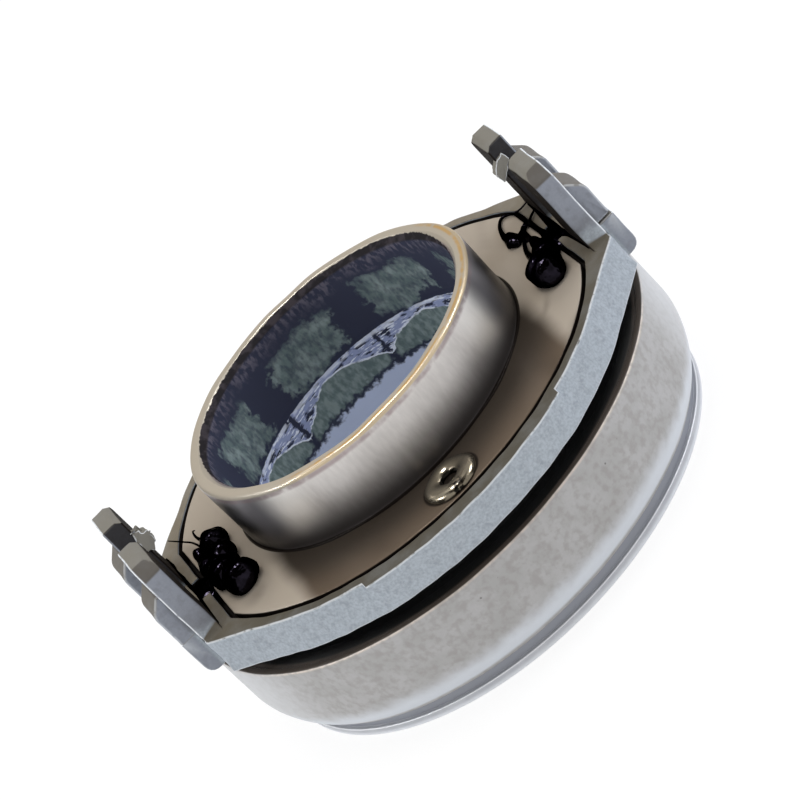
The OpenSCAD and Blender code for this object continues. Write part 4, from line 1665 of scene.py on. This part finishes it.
@dataclass
class GreaseDabs:
    """Black grease that has squeezed out beside both ears: lumps, slot fill and pulled threads."""

    seat: float = 19.4
    slot_z: float = 17.45
    left_lumps: tuple[tuple[float, ...], ...] = (
        (-22.4, -6.8, 0.95, 2.1, 2.3, 1.85), (-23.3, -3.2, 0.85, 2.05, 2.4, 1.75),
        (-22.4, 0.2, 0.75, 1.65, 1.9, 1.45), (-22.2, 4.2, 0.75, 1.65, 1.9, 1.45),
        (-24.2, 0.8, 0.5, 1.3, 2.3, 1.25), (-24.3, 4.7, 0.4, 0.8, 1.4, 0.95))
    right_lumps: tuple[tuple[float, ...], ...] = (
        (22.8, -7.3, 1.0, 2.15, 2.6, 1.95), (24.3, -3.8, 0.7, 1.5, 1.9, 1.35),
        (23.1, 5.0, 0.3, 0.9, 1.9, 0.75), (24.4, 0.1, 0.3, 0.75, 1.9, 0.75))
    fill_at: tuple[float, float] = (26.3, -0.75)
    fill_radii: tuple[float, float, float] = (1.7, 2.7, 0.85)
    fill_ripple: Ripple = Ripple(1.5, 0.06, 2)
    lift: float = 0.01
    sharp: float = 80.0
    ripple: Ripple = Ripple(2.2, 0.13, 8)
    threads: dict[Side, tuple[tuple[tuple[float, ...], ...], ...]] = field(default_factory=lambda: {
        Side.LEFT: (
            ((-25.9, 11.9, 1.0, 0.06), (-24.8, 9.2, 1.0, 0.1), (-23.9, 6.3, 1.25, 0.12),
             (-23.4, 1.9, 1.85, 0.15), (-23.1, -2.0, 2.3, 0.17), (-22.7, -5.1, 2.5, 0.12)),
            ((-22.9, 5.4, 0.7, 0.3), (-23.3, 7.4, 1.0, 0.16), (-23.2, 8.4, 1.3, 0.1),
             (-22.9, 8.4, 1.25, 0.06)),
            ((-27.4, 11.0, 0.05, 0.1), (-27.3, 8.5, 0.1, 0.2), (-27.35, 6.8, 0.1, 0.14),
             (-27.3, 4.5, 0.1, 0.24), (-27.3, 2.6, 0.05, 0.22), (-27.2, 0.0, -0.2, 0.3),
             (-27.3, -2.6, 0.05, 0.18), (-27.35, -6.0, 0.1, 0.12), (-27.4, -9.0, 0.1, 0.1)),
            ((-24.6, -1.5, 0.4, 0.9), (-25.6, -1.0, -0.1, 0.8), (-26.4, -0.4, -0.5, 0.8))),
        Side.RIGHT: (
            ((22.9, 5.2, 0.4, 0.5), (22.9, 7.2, 0.35, 0.34), (23.5, 9.8, 0.3, 0.2),
             (24.5, 11.0, 0.25, 0.17), (25.6, 9.5, 0.25, 0.17), (25.8, 6.6, 0.25, 0.2),
             (24.6, 4.8, 0.3, 0.34), (23.6, 3.8, 0.4, 0.5)),
            ((25.5, 9.9, 0.25, 0.14), (26.3, 9.2, 0.3, 0.11), (27.4, 8.9, 0.5, 0.09)),
            ((27.4, 6.7, 0.3, 0.12), (26.1, 5.6, 0.3, 0.17), (25.9, 3.8, 0.3, 0.2),
             (25.9, 1.6, 0.3, 0.24), (26.2, -0.9, 0.1, 0.4)),
            ((24.3, 2.4, 0.35, 0.45), (24.8, 5.2, 0.4, 0.2), (25.5, 4.6, 0.4, 0.15),
             (25.6, 1.2, 0.4, 0.18), (25.1, -1.4, 0.4, 0.4), (24.3, -3.0, 0.9, 0.6)),
            ((24.1, 3.2, 0.4, 0.26), (23.4, 1.4, 0.5, 0.24), (22.9, -1.2, 0.9, 0.34),
             (22.8, -4.4, 1.4, 0.6)),
            ((27.4, 9.2, 0.1, 0.12), (27.3, 6.5, 0.1, 0.2), (27.2, 4.0, 0.1, 0.36),
             (27.1, 1.6, -0.1, 0.5), (27.05, -1.6, -0.1, 0.5), (27.25, -3.4, 0.05, 0.2),
             (27.4, -9.0, 0.1, 0.1))),
    })

    def build(self, side: Side) -> Shell:
        """Joins one side's lumps, the fill in its slot and its threads.

        Args:
            side: the end of the carrier.

        Returns:
            The grease's surface.
        """
        lumps = self.left_lumps if side is Side.LEFT else self.right_lumps
        shells = [lump((x, y, self.seat + z), (a, b, c), self.seat + self.lift, self.ripple)
                  for x, y, z, a, b, c in lumps]
        fill = (side.value * self.fill_at[0], 0.0, self.seat + self.fill_at[1])
        shells.append(lump(fill, self.fill_radii, self.slot_z, self.fill_ripple))
        for thread in self.threads[side]:
            path = [(x, y, self.seat + z) for x, y, z, _ in thread]
            shells.append(strand(path, [radius for *_, radius in thread]))
        return Shell.joined(shells)

    def dress(self) -> None:
        """Places the grease of both sides."""
        wet = GREASE.material()
        for side in Side:
            name = side.name.lower()
            Piece(f"grease_{name}", self.build(side), Body.CARRIER, "grease",
                  (f"grease_dab_{name}",)).place(wet, self.sharp)


@dataclass(frozen=True)
class Sheet:
    """A flat sheet square to the frame, with its two opposite corners, screen colour and glow."""

    name: str
    low: tuple[float, float, float]
    high: tuple[float, float, float]
    colour: Rgb = (255, 255, 255)
    glow: float = 1.0

    def hang(self, material: bpy.types.Material) -> bpy.types.Object:
        """Puts the sheet into the scene as part of the stage.

        Args:
            material: its material.

        Returns:
            The sheet's object.
        """
        corners = np.array([self.low, self.low, self.high, self.low], float)
        across, along = np.flatnonzero(corners[2] - corners[0])
        corners[1, across], corners[3, along] = self.high[across], self.high[along]
        mesh = bpy.data.meshes.new(self.name)
        mesh.from_pydata((corners * MM).tolist(), [], [(0, 1, 2, 3)])
        mesh.materials.append(material)
        sheet = bpy.data.objects.new(self.name, mesh)
        bpy.context.scene.collection.objects.link(sheet)
        return sheet

    def glowing(self) -> tuple[bpy.types.Material, bpy.types.Node]:
        """Makes a material that glows in the sheet's colour.

        Returns:
            The material and its emission node, which is linked to nothing yet.
        """
        material = bpy.data.materials.new(self.name)
        material.use_nodes = True
        node = material.node_tree.nodes.new("ShaderNodeEmission")
        node.inputs["Color"].default_value = linear(self.colour)
        node.inputs["Strength"].default_value = self.glow
        return material, node


@dataclass(frozen=True)
class Lamp:
    """A square lamp that looks at the object: its name, place, power in watts, side and colour."""

    name: str
    place: tuple[float, float, float]
    power: float
    side: float
    colour: Rgb
    aim: tuple[float, float, float] = (0.0, 0.0, 15.0)

    def hang(self) -> None:
        """Puts the lamp into the scene, unseen by mirrors."""
        data = bpy.data.lights.new(self.name, "AREA")
        data.energy, data.size, data.color = self.power, self.side * MM, linear(self.colour)[:3]
        lamp = bpy.data.objects.new(self.name, data)
        at = Vector(self.place) * MM
        turn = (Vector(self.aim) * MM - at).to_track_quat("-Z", "Y")
        lamp.matrix_world = Matrix.Translation(at) @ turn.to_matrix().to_4x4()
        lamp.visible_glossy = False
        bpy.context.scene.collection.objects.link(lamp)


@dataclass
class Studio:
    """White floor and world, soft lamps, reflection cards and the camera of the photograph."""

    eye: tuple[float, float, float] = (-5.40, -392.71, 208.72)
    right: tuple[float, float, float] = (0.70372, -0.32134, -0.63366)
    up: tuple[float, float, float] = (0.71025, 0.29559, 0.63888)
    lens: float = 185.22
    sensor: float = 36.0
    world_light: float = 0.78
    paper: Sheet = Sheet("white_floor", (-900, -900, -0.02), (900, 900, -0.02), glow=1.06)
    floor_grey: float = 0.9
    floor_rough: float = 0.9
    floor_glow_share: float = 0.8
    cards: tuple[Sheet, ...] = (
        Sheet("card_left", (-90, -60, 0), (-90, 160, 90), (38, 36, 36)),
        Sheet("card_right", (90, -60, 0), (90, 160, 90), (38, 36, 36)),
        Sheet("card_back", (-160, 160, 5), (160, 160, 230), (196, 184, 166)),
        Sheet("card_above", (-180, -220, 320), (180, 60, 320), (72, 64, 58)),
        Sheet("card_glint_top", (-50, 20, 300), (40, 90, 300), glow=48.0),
        Sheet("card_glint_side_-160", (-160, -30, 120), (-160, 40, 190), glow=30.0),
        Sheet("card_glint_side_160", (160, -30, 120), (160, 40, 190), glow=30.0))
    lamps: tuple[Lamp, ...] = (
        Lamp("left_lamp", (-330, 40, 150), 0.36, 200, (246, 250, 255)),
        Lamp("right_lamp", (330, 40, 150), 0.52, 200, (232, 240, 255)),
        Lamp("top_lamp", (60, 60, 420), 0.3, 260, (255, 246, 234)))

    def camera(self) -> None:
        """Sets the camera: columns right, up and back make its turn."""
        data = bpy.data.cameras.new("photo_camera")
        data.lens, data.sensor_width = self.lens, self.sensor
        data.clip_start, data.clip_end = 0.01, 10.0
        right, up = Vector(self.right), Vector(self.up)
        turn = Matrix((right, up, right.cross(up))).transposed().to_4x4()
        camera = bpy.data.objects.new("photo_camera", data)
        camera.matrix_world = Matrix.Translation(Vector(self.eye) * MM) @ turn
        bpy.context.scene.collection.objects.link(camera)
        bpy.context.scene.camera = camera

    def white_for_eye(self, tree: bpy.types.NodeTree) -> Socket:
        """Gives 1 for rays from the camera, mirrors and glass, and 0 for the others.

        Args:
            tree: the node tree that it is for.

        Returns:
            The value's socket.
        """
        path = tree.nodes.new("ShaderNodeLightPath")
        value = path.outputs["Is Camera Ray"]
        for name in ("Is Glossy Ray", "Is Transmission Ray"):
            node = tree.nodes.new("ShaderNodeMath")
            node.operation = "MAXIMUM"
            tree.links.new(value, node.inputs[0])
            tree.links.new(path.outputs[name], node.inputs[1])
            value = node.outputs[0]
        return value

    def world(self) -> None:
        """Makes a world that looks white and lights at a plain level."""
        world = bpy.data.worlds.new("white_world")
        world.use_nodes = True
        tree = world.node_tree
        mix = tree.nodes.new("ShaderNodeMix")
        mix.inputs[2].default_value, mix.inputs[3].default_value = self.world_light, 1.0
        tree.links.new(self.white_for_eye(tree), mix.inputs[0])
        tree.links.new(mix.outputs[0], tree.nodes["Background"].inputs["Strength"])
        tree.nodes["Background"].inputs["Color"].default_value = (1.0, 1.0, 1.0, 1.0)
        bpy.context.scene.world = world

    def floor(self) -> None:
        """Makes the white floor, which keeps a soft shadow."""
        paper, glow = self.paper.glowing()
        tree = paper.node_tree
        shader = tree.nodes["Principled BSDF"]
        shader.inputs["Base Color"].default_value = (self.floor_grey,) * 3 + (1.0,)
        shader.inputs["Roughness"].default_value = self.floor_rough
        mix, share = tree.nodes.new("ShaderNodeMixShader"), tree.nodes.new("ShaderNodeMath")
        share.operation = "MULTIPLY"
        share.inputs[1].default_value = self.floor_glow_share
        tree.links.new(self.white_for_eye(tree), share.inputs[0])
        tree.links.new(share.outputs[0], mix.inputs[0])
        tree.links.new(shader.outputs[0], mix.inputs[1])
        tree.links.new(glow.outputs[0], mix.inputs[2])
        tree.links.new(mix.outputs[0], tree.nodes["Material Output"].inputs["Surface"])
        self.paper.hang(paper)

    def card(self, sheet: Sheet) -> None:
        """Hangs a card that only reflections see.

        Args:
            sheet: the card.
        """
        ink, glow = sheet.glowing()
        tree = ink.node_tree
        tree.links.new(glow.outputs[0], tree.nodes["Material Output"].inputs["Surface"])
        card = sheet.hang(ink)
        card.visible_camera = card.visible_diffuse = card.visible_shadow = False
        card.visible_transmission = False

    def build(self) -> None:
        """Sets up everything around the object."""
        bpy.context.scene.view_settings.view_transform = "Standard"
        self.world()
        self.floor()
        self.camera()
        for sheet in self.cards:
            self.card(sheet)
        for lamp in self.lamps:
            lamp.hang()


def main() -> None:
    """Builds the studio and every piece."""
    logging.basicConfig(level=logging.INFO, format="%(name)s: %(message)s")
    Studio().build()
    CastCarrier().dress()
    GuideSleeve().dress()
    BallBearing().dress()
    Retainer().dress()
    GreaseDabs().dress()


if __name__ == "__main__":
    main()
